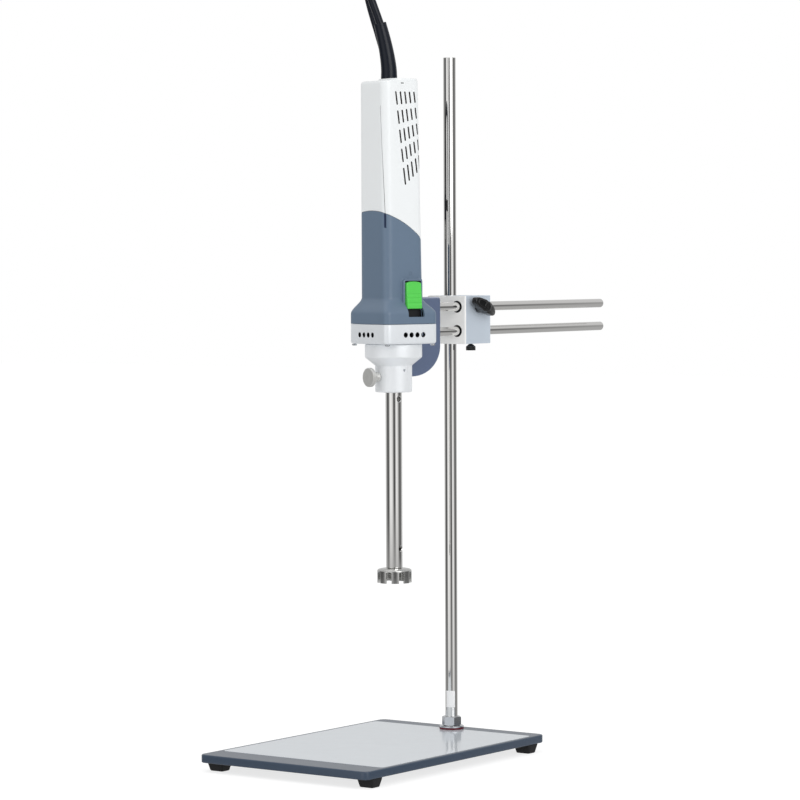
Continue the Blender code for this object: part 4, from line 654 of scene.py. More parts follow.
def lit_block_face():
    """Painted light: an aluminium face made paler and brighter than the block, with a soft sheen from the
    wide cutter.
    """
    return finish("fly_cut_aluminium", linear("#FDFDFB"), 0.36, 0.05, spot=0.0006, stretch=(20.0, 1.0, 1.0),
                  swing=0.06, shade=0.02)


def cast_vinyl():
    """Cast vinyl film: a bare white marker strip, slightly glossy."""
    return finish("cast_vinyl_white", linear("#FAFAFA"), 0.3, spot=0.002, swing=0.04, shade=0.01)


def natural_ptfe():
    """Machined PTFE: waxy white, a little translucent at its edges."""
    return finish("machined_ptfe", linear("#E9E8E2"), 0.45, spot=0.0008, swing=0.05, shade=0.02,
                  fixed={"IOR": 1.35})


# Operators


class HOMOGENIZER_OT_stage(bpy.types.Operator):
    """Pale floor, plain light and the camera at the photograph's viewing angle"""

    bl_idname = "homogenizer.stage"
    bl_label = "Stage"

    def execute(self, context):
        scene = context.scene
        scene.view_settings.view_transform = "Standard"
        add_camera(scene)
        add_floor(CAD_BOX[0][2])
        add_world(scene)
        studio = settings("studio")
        add_lamp("key_lamp", (2.3, -1.0, 1.5), (0.0, 0.0, 0.35), 1.8, studio.key)
        add_lamp("top_lamp", (-0.4, -0.6, 3.0), (0.0, 0.0, 0.3), 2.2, studio.fill)
        return {"FINISHED"}


def add_camera(scene):
    """The camera by its right, up and back axes, which a fit to the plate, rods and column gave."""
    data = bpy.data.cameras.new("camera")
    data.lens = 151.83
    data.sensor_width = 36.0
    data.clip_end = 60.0
    made = bpy.data.objects.new("camera", data)
    axes = (
        (0.81124967, -0.02197775, 0.58428671, 1.938247),
        (0.58468636, 0.03729479, -0.81040173, -2.644633),
        (-0.00398005, 0.9990626, 0.04310548, 0.477648),
        (0.0, 0.0, 0.0, 1.0),
    )
    made.matrix_world = Matrix(axes)
    scene.collection.objects.link(made)
    scene.camera = made


def room_tone(tree, vector):
    """What bright metal mirrors: pale screens with dark gaps between them, by the compass direction."""
    parts = add_node(tree, "ShaderNodeSeparateXYZ", {0: vector})
    angle = add_node(tree, "ShaderNodeMath", {0: parts.outputs[1], 1: parts.outputs[0]}, operation="ARCTAN2")
    share = add_node(tree, "ShaderNodeMapRange", {
        "Value": angle.outputs[0], "From Min": -math.pi, "From Max": math.pi,
    })
    ramp = add_node(tree, "ShaderNodeValToRGB", {"Fac": share.outputs[0]})
    line = ramp.color_ramp.elements
    line[0].color = line[1].color = (0.52, 0.52, 0.52, 1.0)
    for turn, grey in ((-172, 0.40), (-162, 0.13), (-134, 0.07), (-122, 0.42), (-106, 1.0), (-78, 0.8),
                       (-66, 0.45), (-56, 0.08), (-41, 0.08), (-32, 0.45), (-22, 0.92), (-6, 0.85),
                       (8, 0.45), (22, 0.13), (52, 0.13), (60, 0.28), (71, 0.5), (86, 0.66), (126, 0.68)):
        line.new((turn + 180) / 360).color = (grey, grey, grey, 1.0)
    high = add_node(tree, "ShaderNodeMapRange", {
        "Value": parts.outputs[2], "From Min": -0.1, "From Max": 0.1, "To Min": 0.42, "To Max": 0.60,
    })
    steep = add_node(tree, "ShaderNodeMath", {0: parts.outputs[2]}, operation="ABSOLUTE")
    away = add_node(tree, "ShaderNodeMapRange", {
        "Value": steep.outputs[0], "From Min": 0.14, "From Max": 0.32,
    })
    whole = add_node(tree, "ShaderNodeMix", {
        0: away.outputs[0], 6: ramp.outputs["Color"], 7: high.outputs[0],
    }, data_type="RGBA")
    return whole.outputs[2]


def add_world(scene):
    """White to the camera, screens to metal, and an even soft light to everything else."""
    world = bpy.data.worlds.new("studio")
    world.use_nodes = True
    scene.world = world
    tree = world.node_tree
    tree.nodes.clear()
    path = add_node(tree, "ShaderNodeLightPath")
    place = add_node(tree, "ShaderNodeTexCoord")
    tone = room_tone(tree, place.outputs["Generated"])
    soft = add_node(tree, "ShaderNodeBackground", {
        "Color": (1.0, 1.0, 1.0, 1.0), "Strength": settings("studio").soft,
    })
    mirrored = add_node(tree, "ShaderNodeBackground", {"Color": tone, "Strength": 1.0})
    white = add_node(tree, "ShaderNodeBackground", {"Color": (1.0, 1.0, 1.0, 1.0), "Strength": 1.0})
    first = add_node(tree, "ShaderNodeMixShader", {
        0: path.outputs["Is Glossy Ray"], 1: soft.outputs[0], 2: mirrored.outputs[0],
    })
    seen = add_node(tree, "ShaderNodeMath", {
        0: path.outputs["Is Camera Ray"], 1: path.outputs["Is Transmission Ray"],
    }, operation="MAXIMUM")
    last = add_node(tree, "ShaderNodeMixShader", {
        0: seen.outputs[0], 1: first.outputs[0], 2: white.outputs[0],
    })
    add_node(tree, "ShaderNodeOutputWorld", {"Surface": last.outputs[0]})


def add_floor(height):
    """A wide flat floor at the feet: white, with a part of the object's shadow, and clear from below."""
    reach = 9.0
    grid = stacked([section((-reach, -reach), (reach, reach), 1.0)], [height])
    floor = solid("floor", [np.concatenate([grid, np.broadcast_to(grid[0].mean(axis=0), grid.shape)])])
    shape = bmesh.new()
    shape.from_mesh(floor.data)
    if sum(face.normal.z for face in shape.faces) < 0:
        bmesh.ops.reverse_faces(shape, faces=shape.faces)
    shape.to_mesh(floor.data)
    shape.free()
    made = bpy.data.materials.new("painted_floor")
    made.use_nodes = True
    tree = made.node_tree
    tree.nodes.clear()
    path = add_node(tree, "ShaderNodeLightPath")
    paint = add_node(tree, "ShaderNodeBsdfDiffuse", {"Color": (0.86, 0.86, 0.86, 1.0)})
    shade = add_node(tree, "ShaderNodeBsdfDiffuse", {"Color": (0.34, 0.34, 0.34, 1.0)})
    glow = add_node(tree, "ShaderNodeEmission", {"Color": (0.76, 0.76, 0.76, 1.0), "Strength": 1.0})
    washed = add_node(tree, "ShaderNodeAddShader", {0: shade.outputs[0], 1: glow.outputs[0]})
    clear = add_node(tree, "ShaderNodeBsdfTransparent")
    seen = add_node(tree, "ShaderNodeMath", {
        0: path.outputs["Is Camera Ray"], 1: path.outputs["Is Transmission Ray"],
    }, operation="MAXIMUM")
    first = add_node(tree, "ShaderNodeMixShader", {
        0: path.outputs["Is Glossy Ray"], 1: paint.outputs[0], 2: clear.outputs[0],
    })
    upper = add_node(tree, "ShaderNodeMixShader", {
        0: seen.outputs[0], 1: first.outputs[0], 2: washed.outputs[0],
    })
    side = add_node(tree, "ShaderNodeNewGeometry")
    last = add_node(tree, "ShaderNodeMixShader", {
        0: side.outputs["Backfacing"], 1: upper.outputs[0], 2: clear.outputs[0],
    })
    add_node(tree, "ShaderNodeOutputMaterial", {"Surface": last.outputs[0]})
    floor.data.materials.append(made)


def add_lamp(name, place, target, width, power):
    """A large square lamp that faces a point."""
    data = bpy.data.lights.new(name, "AREA")
    data.size = width
    data.energy = power
    made = bpy.data.objects.new(name, data)
    made.location = place
    made.rotation_euler = (Vector(place) - Vector(target)).to_track_quat("Z", "Y").to_euler()
    bpy.context.scene.collection.objects.link(made)


class HOMOGENIZER_OT_plate(bpy.types.Operator):
    """Painted plate with its inlaid panel and four rubber feet"""

    bl_idname = "homogenizer.plate"
    bl_label = "Plate and feet"

    def execute(self, context):
        stand = settings("stand")
        half = np.array((stand.plate_width / 2, stand.plate_length / 2))
        top = -GAP / 3
        bottom = top - stand.plate_thickness
        plate = solid("plate", [slab(-half, half, stand.plate_corner, bottom, top, 0.0012)])
        low = -half + (stand.panel_side, stand.panel_front)
        high = half - (stand.panel_side, stand.panel_back)
        corner, depth = 0.004, -stand.panel_thickness
        recess = solid("recess", [slab(low - GAP, high + GAP, corner + GAP, depth - GAP, 0.004, 0.0)])
        hole = placed(bar(stand.column_radius + GAP, -0.02, 0.01), column_place())
        carved(plate, [recess, solid("hole", [hole])])
        finished(plate, paint_plate(), "stand", ["base_plate"])
        panel = solid("panel", [slab(low, high, corner, depth, 0.0, 0.0002)])
        carved(panel, [solid("hole", [hole])])
        finished(panel, enamel_panel(), "stand", ["top_panel"])
        spread = half - (0.0107, 0.0191)
        for name, side in (("front_left", (-1, -1)), ("front_right", (1, -1)),
                           ("back_left", (-1, 1)), ("back_right", (1, 1))):
            centre = (*(spread * side), bottom - GAP)
            shape = placed(self.foot(stand.foot_height - GAP), Matrix.Translation(centre))
            finished(solid(f"foot_{name}_rubber", [shape]), rubber(), "stand", [f"foot_{name}"], 40)
        return {"FINISHED"}

    def foot(self, height):
        """Outlines that shrink downwards, then a round dimple with a flat floor in the underside."""
        top, bottom = np.array((0.0095, 0.008)), np.array((0.00775, 0.00615))
        ease, dimple, floor = 0.0006, 0.003, 0.0026
        rows = [section(-half, half, corner, 3) for half, corner in (
            (top, 0.0018), (top, 0.0018), (bottom, 0.0018), (bottom - ease, 0.0014),
            (np.full(2, dimple), dimple - 0.00001), (np.full(2, floor), floor - 0.00001),
        )]
        return capped(stacked(rows, [0.0, -0.0008, ease - height, -height, -height, 0.002 - height]))


class HOMOGENIZER_OT_column(bpy.types.Operator):
    """Upright bar with its gasket, washer, hexagon nut and bare marker strip"""

    bl_idname = "homogenizer.column"
    bl_label = "Column and nut"

    def execute(self, context):
        stand = settings("stand")
        place = column_place()
        radius = stand.column_radius
        bottom = -GAP / 3 - stand.plate_thickness + 0.0012
        column = solid("upright_bar", [placed(bar(radius, bottom, stand.column_top, 0.0006, 96), place)])
        finished(column, chrome("Z"), "stand", ["column"])
        bore, rim = radius + GAP, 0.01225
        gasket_top = GAP + 0.0012
        washer_top = gasket_top + GAP + 0.0015
        for name, low, high, made, slot, node in (
            ("fibre_gasket", GAP, gasket_top, red_fibre(), "gasket_red", "column_gasket"),
            ("flat_washer", gasket_top + GAP, washer_top, zinc_steel(), "steel", "column_washer"),
        ):
            profile = eased([(bore, low), (rim, low), (rim, high), (bore, high)], 0.0003, 3, True)
            finished(solid(name, [placed(turned(profile), place)], True), made, "stand", [node])
        nut = solid("hexagon_nut", [placed(self.nut(stand, bore, washer_top + GAP), place)], True)
        finished(nut, zinc_steel(), "stand", ["column_nut"], 20)
        strip = placed(self.strip(radius), place)
        finished(solid("marker_strip", [strip]), cast_vinyl(), "stand")
        return {"FINISHED"}

    def nut(self, stand, bore, base):
        """Hexagon whose radius follows the secant of the angle; cones cut its corners at both faces."""
        angle = np.arange(144) * math.tau / 144
        turn, chamfer = math.radians(20), 0.0006
        flat = stand.nut_flats / 2
        top = base + stand.nut_height
        about = (angle - turn + math.pi / 6) % (math.pi / 3) - math.pi / 6
        hexagon = flat / np.cos(math.pi / 6 - np.abs(about))
        shoulder = flat * 0.985
        drop = (hexagon - shoulder) * math.tan(math.radians(30))
        rows = (
            (bore, top - chamfer), (bore + chamfer, top), (shoulder, top), (hexagon, top - drop),
            (hexagon, base + drop), (shoulder, base), (bore + chamfer, base), (bore, base + chamfer),
        )
        radius, height = (np.stack([row[k] + 0 * angle for row in rows]) for k in (0, 1))
        return np.stack([radius * np.cos(angle), radius * np.sin(angle), height], axis=-1)

    def strip(self, radius):
        """A thin film on the bar: an arc of the bar's own circle, a tenth of a millimetre proud."""
        middle, half = math.radians(-64.8), math.radians(43)
        arc = middle + half * np.linspace(-1.0, 1.0, 15)
        outer = np.stack([np.cos(arc), np.sin(arc)], axis=-1)
        loop = np.concatenate([outer * (radius + 0.00012), outer[::-1] * (radius - 0.0001)])
        return capped(stacked([loop, loop], [0.0222, 0.0388]))


class HOMOGENIZER_OT_clamp(bpy.types.Operator):
    """Clamp block with its guide bush, two waisted knobs and the small lock screw"""

    bl_idname = "homogenizer.clamp"
    bl_label = "Clamp block and knobs"

    def execute(self, context):
        arm = settings("arm")
        stand = settings("stand")
        column = column_place()
        middle = column.translation.y
        low, high = (BLOCK_LEFT, middle - BLOCK_HALF), (BLOCK_RIGHT, middle + BLOCK_HALF)
        block = solid("milled_block", [slab(low, high, 0.0017, BLOCK_BOTTOM, BLOCK_TOP, 0.0007, 1, 8)])
        bush = stand.column_radius + GAP + BUSH_WALL
        cuts = [solid("seat", [placed(turned(self.bush_seat(bush), 64), column)])]
        lower = arm.rod_height - arm.rod_pitch
        for height in (arm.rod_height, lower):
            bore = self.bore(arm.rod_radius + GAP, low[1], high[1])
            cuts.append(solid("bore", [placed(bore, along_y(arm.rod_side, height))]))
        lock = Matrix.Translation((arm.rod_side, middle + 0.0016, BLOCK_BOTTOM))
        reach = lower - arm.rod_radius - GAP - BLOCK_BOTTOM
        hole = STUD_RADIUS + GAP
        cuts.append(solid("lock", [placed(bar(hole, -0.002, reach + 0.002, 0, 24), lock)]))
        knobs = (
            ("rod_star_knob", "rod_clamp_knob", "rod_knob", (BLOCK_RIGHT, middle, arm.rod_height), 90,
             BLOCK_RIGHT - arm.rod_side - arm.rod_radius - GAP),
            ("column_star_knob", "column_clamp_knob", "column_knob", (BLOCK_LEFT, middle, 0.4125), -90,
             -BLOCK_LEFT - bush - GAP),
        )
        for name, node, body, face, turn, depth in knobs:
            place = Matrix.Translation(face) @ Matrix.Rotation(math.radians(turn), 4, "Y")
            cuts.append(solid("stud", [placed(bar(hole, -depth - 0.0015, 0.002, 0, 24), place)]))
            knob = solid(name, [placed(grid, place) for grid in self.knob(arm, depth)])
            finished(knob, black_phenolic(), body, [node], 45)
        carved(block, cuts)
        finished(block, anodised_block(), "clamp", ["clamp_block"], 13)
        self.coat_block(block, (*low, BLOCK_BOTTOM), (*high, BLOCK_TOP))
        screw = solid("fluted_lock_screw", [placed(self.lock(reach), lock)])
        finished(screw, black_phenolic(), "rod_lock", ["rod_lock_screw"], 40)
        guide = solid("split_bush", [placed(turned(self.bush(stand, bush)), column)], True)
        slot = slab((-0.0008, 0.0), (0.0008, 0.02), 0.0001, BLOCK_BOTTOM - 0.002, BLOCK_TOP + 0.002, 0.0)
        carved(guide, [solid("slot", [placed(slot, column)])])
        finished(guide, natural_ptfe(), "bush", ["guide_bush"])
        return {"FINISHED"}

    def bush_seat(self, bush):
        """Profile of the hole for the bush: wide at its foot, and opened a little at the block's top."""
        foot = BLOCK_BOTTOM + BUSH_FOOT + GAP
        wide, end = BUSH_FOOT_RADIUS + GAP, BLOCK_TOP + 0.001
        return np.array([
            (0.0, BLOCK_BOTTOM - 0.002), (wide, BLOCK_BOTTOM - 0.002), (wide, foot), (bush + GAP, foot),
            (bush + GAP, BLOCK_TOP - 0.0006), (bush + 0.0016, end), (0.0, end),
        ])

    def bush(self, stand, bush):
        """Profile of the bush: a thin sleeve with a foot."""
        bore = stand.column_radius + GAP
        foot = BLOCK_BOTTOM + BUSH_FOOT
        return eased([
            (bore, BLOCK_BOTTOM), (BUSH_FOOT_RADIUS, BLOCK_BOTTOM), (BUSH_FOOT_RADIUS, foot),
            (bush, foot), (bush, BLOCK_TOP), (bore, BLOCK_TOP),
        ], 0.0002, 2, True)

    def coat_block(self, block, low, high):
        """Painted shade in the bores, and painted light on the front face."""
        spot, facing = face_places(block, Matrix.Identity(4))
        skin = 0.0004
        within = np.all((spot > np.add(low, skin)) & (spot < np.subtract(high, skin)), axis=1)
        # Painted shade: faces inside the bores are coloured nearly black.
        coated(block, dark_painted_shade(), within & (np.abs(facing[:, 0]) < 0.9999))
        # Painted light: the front face gets a paler, brighter material than the rest of the block.
        coated(block, lit_block_face(), (facing[:, 1] < -0.25) & (spot[:, 1] < low[1] + 0.0017))

    def bore(self, radius, start, end):
        """A round hole along Z that widens to a short seat at both faces."""
        wide, over, seat = radius + 0.0011, 0.001, 0.002
        profile = [
            (0.0, start - over), (wide, start - over), (wide, start + seat), (radius, start + seat + 0.0002),
            (radius, end - seat - 0.0002), (wide, end - seat), (wide, end + over), (0.0, end + over),
        ]
        return turned(np.array(profile), 64)

    def knob(self, arm, depth):
        """Wing grip: a superellipse with a waist; its rim is drawn in, and its face falls to both ends."""
        power, face, crown = 2.8, 0.012, 0.0124
        angle = np.arange(160) * math.tau / 160
        about = angle - math.radians(arm.knob_turn)
        long_side = np.abs(np.cos(about) / arm.knob_radius) ** power
        short_side = np.abs(np.sin(about) / arm.knob_waist) ** power
        wing = (long_side + short_side) ** (-1 / power) * (1 + 0.05 * np.cos(6 * about))
        inset, height = eased([
            (0.02, 0.0035), (0.0, 0.0035), (0.0, face), (0.0032, face), (0.0040, crown), (0.02, crown),
        ], [0, 0.0016, 0.0022, 0.0006, 0.0004, 0], 8).T
        radius = np.maximum(wing[None, :] - inset[:, None], 0.0)
        along = np.clip((radius * np.abs(np.cos(about)) - 0.004) / 0.012, 0.0, 1.0)
        fall = 0.0022 * along ** 1.5 * (height[:, None] > 0.008)
        head = np.stack([radius * np.cos(angle), radius * np.sin(angle), height[:, None] - fall], axis=-1)
        hub = turned(eased([
            (0.0, GAP), (0.0062, GAP), (0.0062, 0.0045), (0.0052, 0.0127), (0.0034, 0.0132), (0.0, 0.0130),
        ], 0.0005, 4), 64)
        return head, hub, bar(STUD_RADIUS, -depth, 0.004, 0.0002, 32)

    def lock(self, reach):
        """Small screw: a head with flutes round it, a cone and a stud, as radius by height and angle."""
        head, neck = 0.0048, 0.0017
        profile = eased([
            (0.0, -0.0069), (head, -0.0069), (head, -0.0030), (neck, -0.0005), (neck, 0.0005),
            (STUD_RADIUS, 0.0008), (STUD_RADIUS, reach), (0.0, reach),
        ], [0, 0.0003, 0.0002, 0.0002, 0, 0, 0.0002, 0], 4)
        grid = turned(profile, 144)
        angle = np.arange(144) * math.tau / 144
        flutes = (profile[:, 1] < -0.0027) & (profile[:, 0] > 0.003)
        depth = 0.00035 * flutes[:, None] * (0.5 - 0.5 * np.cos(12 * angle))
        shrink = 1.0 - depth / np.maximum(profile[:, :1], 1e-6)
        grid[..., :2] *= shrink[..., None]
        return grid


def along_y(x, z):
    """Frame whose Z axis runs along the object's Y at this side and height."""
    return Matrix.Translation((x, 0.0, z)) @ Matrix.Rotation(math.radians(-90), 4, "X")


class HOMOGENIZER_OT_arm(bpy.types.Operator):
    """Two chrome rods and the painted bracket that carries the drive"""

    bl_idname = "homogenizer.arm"
    bl_label = "Rods and bracket"

    def execute(self, context):
        arm = settings("arm")
        drive = settings("drive")
        front, back = 0.056, 0.3728
        cuts = []
        for name, height in (("upper", arm.rod_height), ("lower", arm.rod_height - arm.rod_pitch)):
            place = along_y(arm.rod_side, height)
            rod = solid(f"{name}_chrome_rod", [placed(bar(arm.rod_radius, front, back, 0.0007, 72), place)])
            finished(rod, chrome("Y"), "arm", [f"{name}_rod"])
            seat = bar(arm.rod_radius + GAP, front - GAP, 0.08, 0, 48)
            cuts.append(solid("seat", [placed(seat, place)]))
        bracket = solid("cast_bracket", [self.outline(arm)])
        edge = bracket.modifiers.new("edge", "BEVEL")
        edge.width = arm.bracket_bevel
        edge.segments = 4
        edge.limit_method = "ANGLE"
        edge.angle_limit = math.radians(40)
        baked(bracket)
        carved(bracket, cuts + self.drive_cuts(drive) + self.screw_cuts(arm))
        finished(bracket, blue_paint(), "arm", ["bracket"], 13)
        self.coat_edges(bracket, arm, drive)
        return {"FINISHED"}

    def outline(self, arm):
        """Side view of the bracket: straight top and back, and a quarter of an ellipse below."""
        top, start, heel, toe, back = 0.4358, 0.3875, 0.359, 0.0255, 0.0685
        t = np.linspace(0.0, np.pi / 2, 24)
        curve = np.stack([toe + (back - toe) * np.sin(t), start - (start - heel) * np.cos(t)], axis=-1)
        flat = np.concatenate([[(0.0, top), (0.0, heel)], curve, [(back, top)]])
        half = arm.bracket_width / 2
        sides = [
            np.concatenate([np.full((len(flat), 1), arm.rod_side + x), flat], axis=1)
            for x in (-half, half)
        ]
        return capped(np.stack(sides))

    def drive_cuts(self, drive):
        """The shells' and the nose's own outlines, a gap larger, to be taken off the bracket."""
        place = drive_place()
        upright, square = body_section(0.0, -GAP), ring_section(-GAP)
        share, height = flare()
        rows = [upright] + [upright + (square - upright) * s for s in share] + [square]
        heights = np.concatenate([[0.447], height + GAP, [RING_BOTTOM - GAP]])
        neck, wide, bottom = drive.neck_radius + GAP, drive.nose_radius + GAP, NOSE_BOTTOM + 0.0104
        nose = np.array([
            (0.0, bottom), (neck, bottom), (neck, CONE_BOTTOM - GAP), (wide, CONE_TOP - GAP),
            (wide, RING_TOP), (0.0, RING_TOP),
        ])
        return [
            solid("shell", [placed(capped(stacked(rows, heights)), place)]),
            solid("nose", [placed(turned(nose, 96), place)]),
        ]

    def screw_cuts(self, arm):
        """Counterbored holes for the two screws that hold the shell and the nose."""
        hole, head, end = SCREW_RADIUS + GAP, 0.0038, 0.08
        between = arm.rod_height - arm.rod_pitch / 2
        cuts = []
        for height, seat, tip in ((between, 0.063, 0.029), (NOSE_SCREW, 0.0575, 0.0217)):
            sink = np.array([
                (0.0, tip - 0.001), (hole, tip - 0.001), (hole, seat - GAP), (head, seat - GAP),
                (head, end), (0.0, end),
            ])
            cuts.append(solid("sink", [placed(turned(sink, 32), along_y(arm.rod_side, height))]))
        return cuts

    def coat_edges(self, bracket, arm, drive):
        """Painted highlight: pale enamel on the slanting faces of the round edges, away from the nose."""
        spot = face_places(bracket, drive_place())[0]
        place, facing = face_places(bracket, Matrix.Identity(4))
        rim = np.abs(place[:, 0] - arm.rod_side) > arm.bracket_width / 2 - arm.bracket_bevel
        slant = np.abs(facing[:, 0])
        outside = np.hypot(spot[:, 0], spot[:, 1]) > drive.nose_radius + 2 * GAP
        coated(bracket, edge_highlight_enamel(), rim & outside & (slant > 0.45) & (slant < 0.85))


def body_section(share, inset=0.0):
    """Section of the drive's shells: two faces stay, two taper by the share of the height."""
    drive = settings("drive")
    high = drive.high_bottom + (drive.high_top - drive.high_bottom) * share - inset
    low = -drive.low_face + inset
    return section((low, low), (high, high), drive.corner - inset)


def flare(count=17):
    """Shares and heights of the flare: it leaves the body softly and rounds off above the ring."""
    depth = np.linspace(0.0, 1.0, count)
    share = np.minimum(1.07 * depth, 1.0)
    return share ** 2 * (3 - 2 * share), FLARE_TOP - FLARE_DEPTH * depth


def ring_section(inset=0.0):
    """Section of the square ring under the shells."""
    half = settings("drive").ring_half - inset
    return section((-half, -half), (half, half), RING_CORNER - inset)


def seam_height(points):
    """Height of the seam over points of the section: a circle across one face, a parabola along the other."""
    radius, start = 0.095, 0.023
    along = points[:, 1] + settings("drive").low_face + 0.001 + start
    drop = math.sqrt(radius ** 2 - start ** 2) - np.sqrt(radius ** 2 - along ** 2)
    return SEAM_TOP - (points[:, 0] + 0.003) ** 2 / (2 * radius) - drop


class HOMOGENIZER_OT_shells(bpy.types.Operator):
    """White and slate shells with their air slots, and the silver ring with its screws"""

    bl_idname = "homogenizer.shells"
    bl_label = "Shells and ring"

    def execute(self, context):
        drive = settings("drive")
        place = drive_place()
        self.add_upper(drive, place)
        self.add_lower(drive, place)
        self.add_ring(drive, place)
        return {"FINISHED"}

    def add_upper(self, drive, place):
        """White shell with its air slots, the openings in its cap and the parting line."""
        upper = solid("white_shell", [placed(self.upper(drive), place)], True)
        below, above = 0.640, 0.650
        cuts = [
            solid("slots_front", [placed(grid, place) for grid in self.slots(drive, 0.0116, 0.0250)]),
            solid("slots_back", [placed(grid, place) for grid in self.slots(drive, -0.0270, -0.0160)]),
        ]
        for name, grid in (
            ("boot_hole", bar(0.0063, below, above, 0, 48) - np.array((0.0, LEAD_BACK, 0.0))),
            ("dial_window", slab((0.0025, 0.0062), (0.0158, 0.0108), 0.0006, below, above, 0.0)),
            ("notch", slab((0.0178, -0.0044), (0.0230, -0.0010), 0.0003, 0.6415, 0.6424, 0.0)),
            ("parting", self.corner_cut(drive, (0.515, 0.6205), (-53, -84), 0.0003, 0.0006)),
        ):
            cuts.append(solid(name, [placed(grid, place)]))
        carved(upper, cuts)
        finished(upper, white_shell(), "arm", ["upper_housing"], 30)
        spot = face_places(upper, place)[0]
        share = (spot[:, 2:] - TAPER_BOTTOM) / (drive.body_top - TAPER_BOTTOM)
        face = drive.high_bottom - (drive.high_bottom - drive.high_top) * share * np.ones((1, 2))
        # Painted shade: the inner wall seen through the air slots is coloured dark grey.
        inner = depth_within(spot, np.full(2, -drive.low_face), face, drive.corner) > 0.0005
        coated(upper, shaded_wall(), inner & (spot[:, 2] < 0.6405))
        # Painted shade: faces inside the small notch at the cap's edge are coloured nearly black.
        notch = np.all((spot > (0.0177, -0.0045, 0.6414)) & (spot < (0.0195, -0.0009, 0.6425)), axis=1)
        coated(upper, dark_painted_shade(), notch)

    def add_lower(self, drive, place):
        """Slate shell with the soft pad, the switch's pocket, the round mark and the slit."""
        arm = settings("arm")
        lower = solid("slate_shell", [placed(self.lower(drive), place)], True)
        tools = []
        for name, grid, closed in (
            ("pocket", prism(section((-0.0046, 0.4175), (0.0144, 0.4523), 0.001), 0.0235, 0.036), False),
            ("stem", slab((0.016, 0.0021), (0.026, 0.0077), 0.0002, 0.4292, 0.4413, 0.0), False),
            ("mark", self.ring_mark(), True),
            ("slit", self.corner_cut(drive, (0.5035, 0.519), (-53, -53), 0.0004, 0.0012), False),
        ):
            tools.append(solid(name, [placed(grid, place)], closed))
        between = along_y(arm.rod_side, arm.rod_height - arm.rod_pitch / 2)
        tools.append(solid("screw", [placed(bar(SCREW_RADIUS + GAP, 0.0287, 0.06, 0, 24), between)]))
        carved(lower, tools, [solid("pad", [placed(self.pad(), place)])])
        finished(lower, slate_shell(), "arm", ["lower_housing"], 30)
        spot, facing = face_places(lower, place)
        # Painted shade: the switch pocket's walls are coloured nearly black, and the slit's walls take the
        # groove's shadow colour.
        walls = np.all((spot > (0.0190, -0.0047, 0.4174)) & (spot < (0.0252, 0.0145, 0.4524)), axis=1)
        groove = (spot[:, 2] > 0.5034) & (np.hypot(spot[:, 0] - 0.0180, spot[:, 1] + 0.0224) < 0.0014)
        coated(lower, dark_painted_shade(), walls)
        coated(lower, groove_shade(), groove & (np.abs(facing[:, 2]) < 0.5))

    def shell_rows(self, heights, inset=0.0):
        """Section points for rows of heights; the tapered faces move in evenly with the height."""
        drive = settings("drive")
        wide, narrow = body_section(0.0, inset), body_section(1.0, inset)
        share = np.clip((heights - TAPER_BOTTOM) / (drive.body_top - TAPER_BOTTOM), 0.0, 1.0)
        flat = wide + (narrow - wide) * share[..., None]
        return np.concatenate([flat, heights[..., None]], axis=-1)

    def seam(self, inset, shift):
        """Heights of the seam over the section, moved up or down."""
        return seam_height(body_section(0.35, inset)) + shift

    def upper(self, drive):
        """Upper shell: rows from the seam to the top, the cap, and the inner wall back to the seam."""
        edge = 0.0028
        start = self.seam(0.0, GAP / 2)
        rows = [self.shell_rows(start, 0.0003)]
        t = np.linspace(0.0, 1.0, 25)[:, None]
        rows += list(self.shell_rows((start + 0.0004) * (1 - t) + (drive.body_top - edge) * t))
        side = body_section(1.0)
        low, high = -drive.low_face + edge, drive.high_top - 0.0001
        lid = section((low, low), (high, high), drive.corner - 0.0006)
        turn = np.linspace(0.0, np.pi / 2, 7)[1:]
        flat = [side + (lid - side) * (1 - math.cos(a)) for a in turn]
        level = [drive.body_top - edge * (1 - math.sin(a)) for a in turn]
        cap_high = drive.high_top - GAP
        rise = drive.cap_height
        for inset, height in (
            (-0.0003, 0.0), (0.0, 0.0004), (0.0, rise - 0.0006), (0.00018, rise - 0.00018), (0.0006, rise),
        ):
            near, far = inset - 0.012, cap_high - max(inset, 0.0)
            flat.append(section((near, near), (far, far), 0.0092 - inset))
            level.append(drive.body_top + height)
        middle = (0.0038, 0.0038)
        flat.append(np.broadcast_to(middle, side.shape))
        level.append(drive.body_top + rise)
        inner_top = drive.body_top - drive.wall
        flat += [np.broadcast_to(middle, side.shape), body_section(1.0, drive.wall)]
        level += [inner_top, inner_top]
        rows += list(stacked(flat, level))
        t = np.linspace(0.0, 1.0, 7)[1:, None]
        rows += list(self.shell_rows(inner_top * (1 - t) + self.seam(drive.wall, GAP / 2) * t, drive.wall))
        return np.stack(rows)

    def lower(self, drive):
        """Lower shell: rows from the seam down the flare to the ring, and the inner wall back."""
        start = self.seam(0.0, -GAP / 2)
        rows = [self.shell_rows(start, 0.0003)]
        t = np.linspace(0.0, 1.0, 13)[:, None]
        share, height = flare()
        rows += list(self.shell_rows((start - 0.0004) * (1 - t) + height[0] * t))
        for inset, back in ((0.0, False), (drive.wall, True)):
            upright, square = body_section(0.0, inset), ring_section(inset)
            flat = [upright + (square - upright) * s for s in share[1:]] + [square]
            level = [*height[1:], SHELL_BOTTOM]
            if not back:
                flat.append(ring_section(0.0003))
                level[-1] += 0.0003
                level.append(SHELL_BOTTOM)
            part = list(stacked(flat, level))
            rows += part[::-1] if back else part
        t = np.linspace(0.0, 1.0, 9)[:, None]
        rows += list(self.shell_rows(height[0] * (1 - t) + self.seam(drive.wall, -GAP / 2) * t, drive.wall))
        return np.stack(rows)

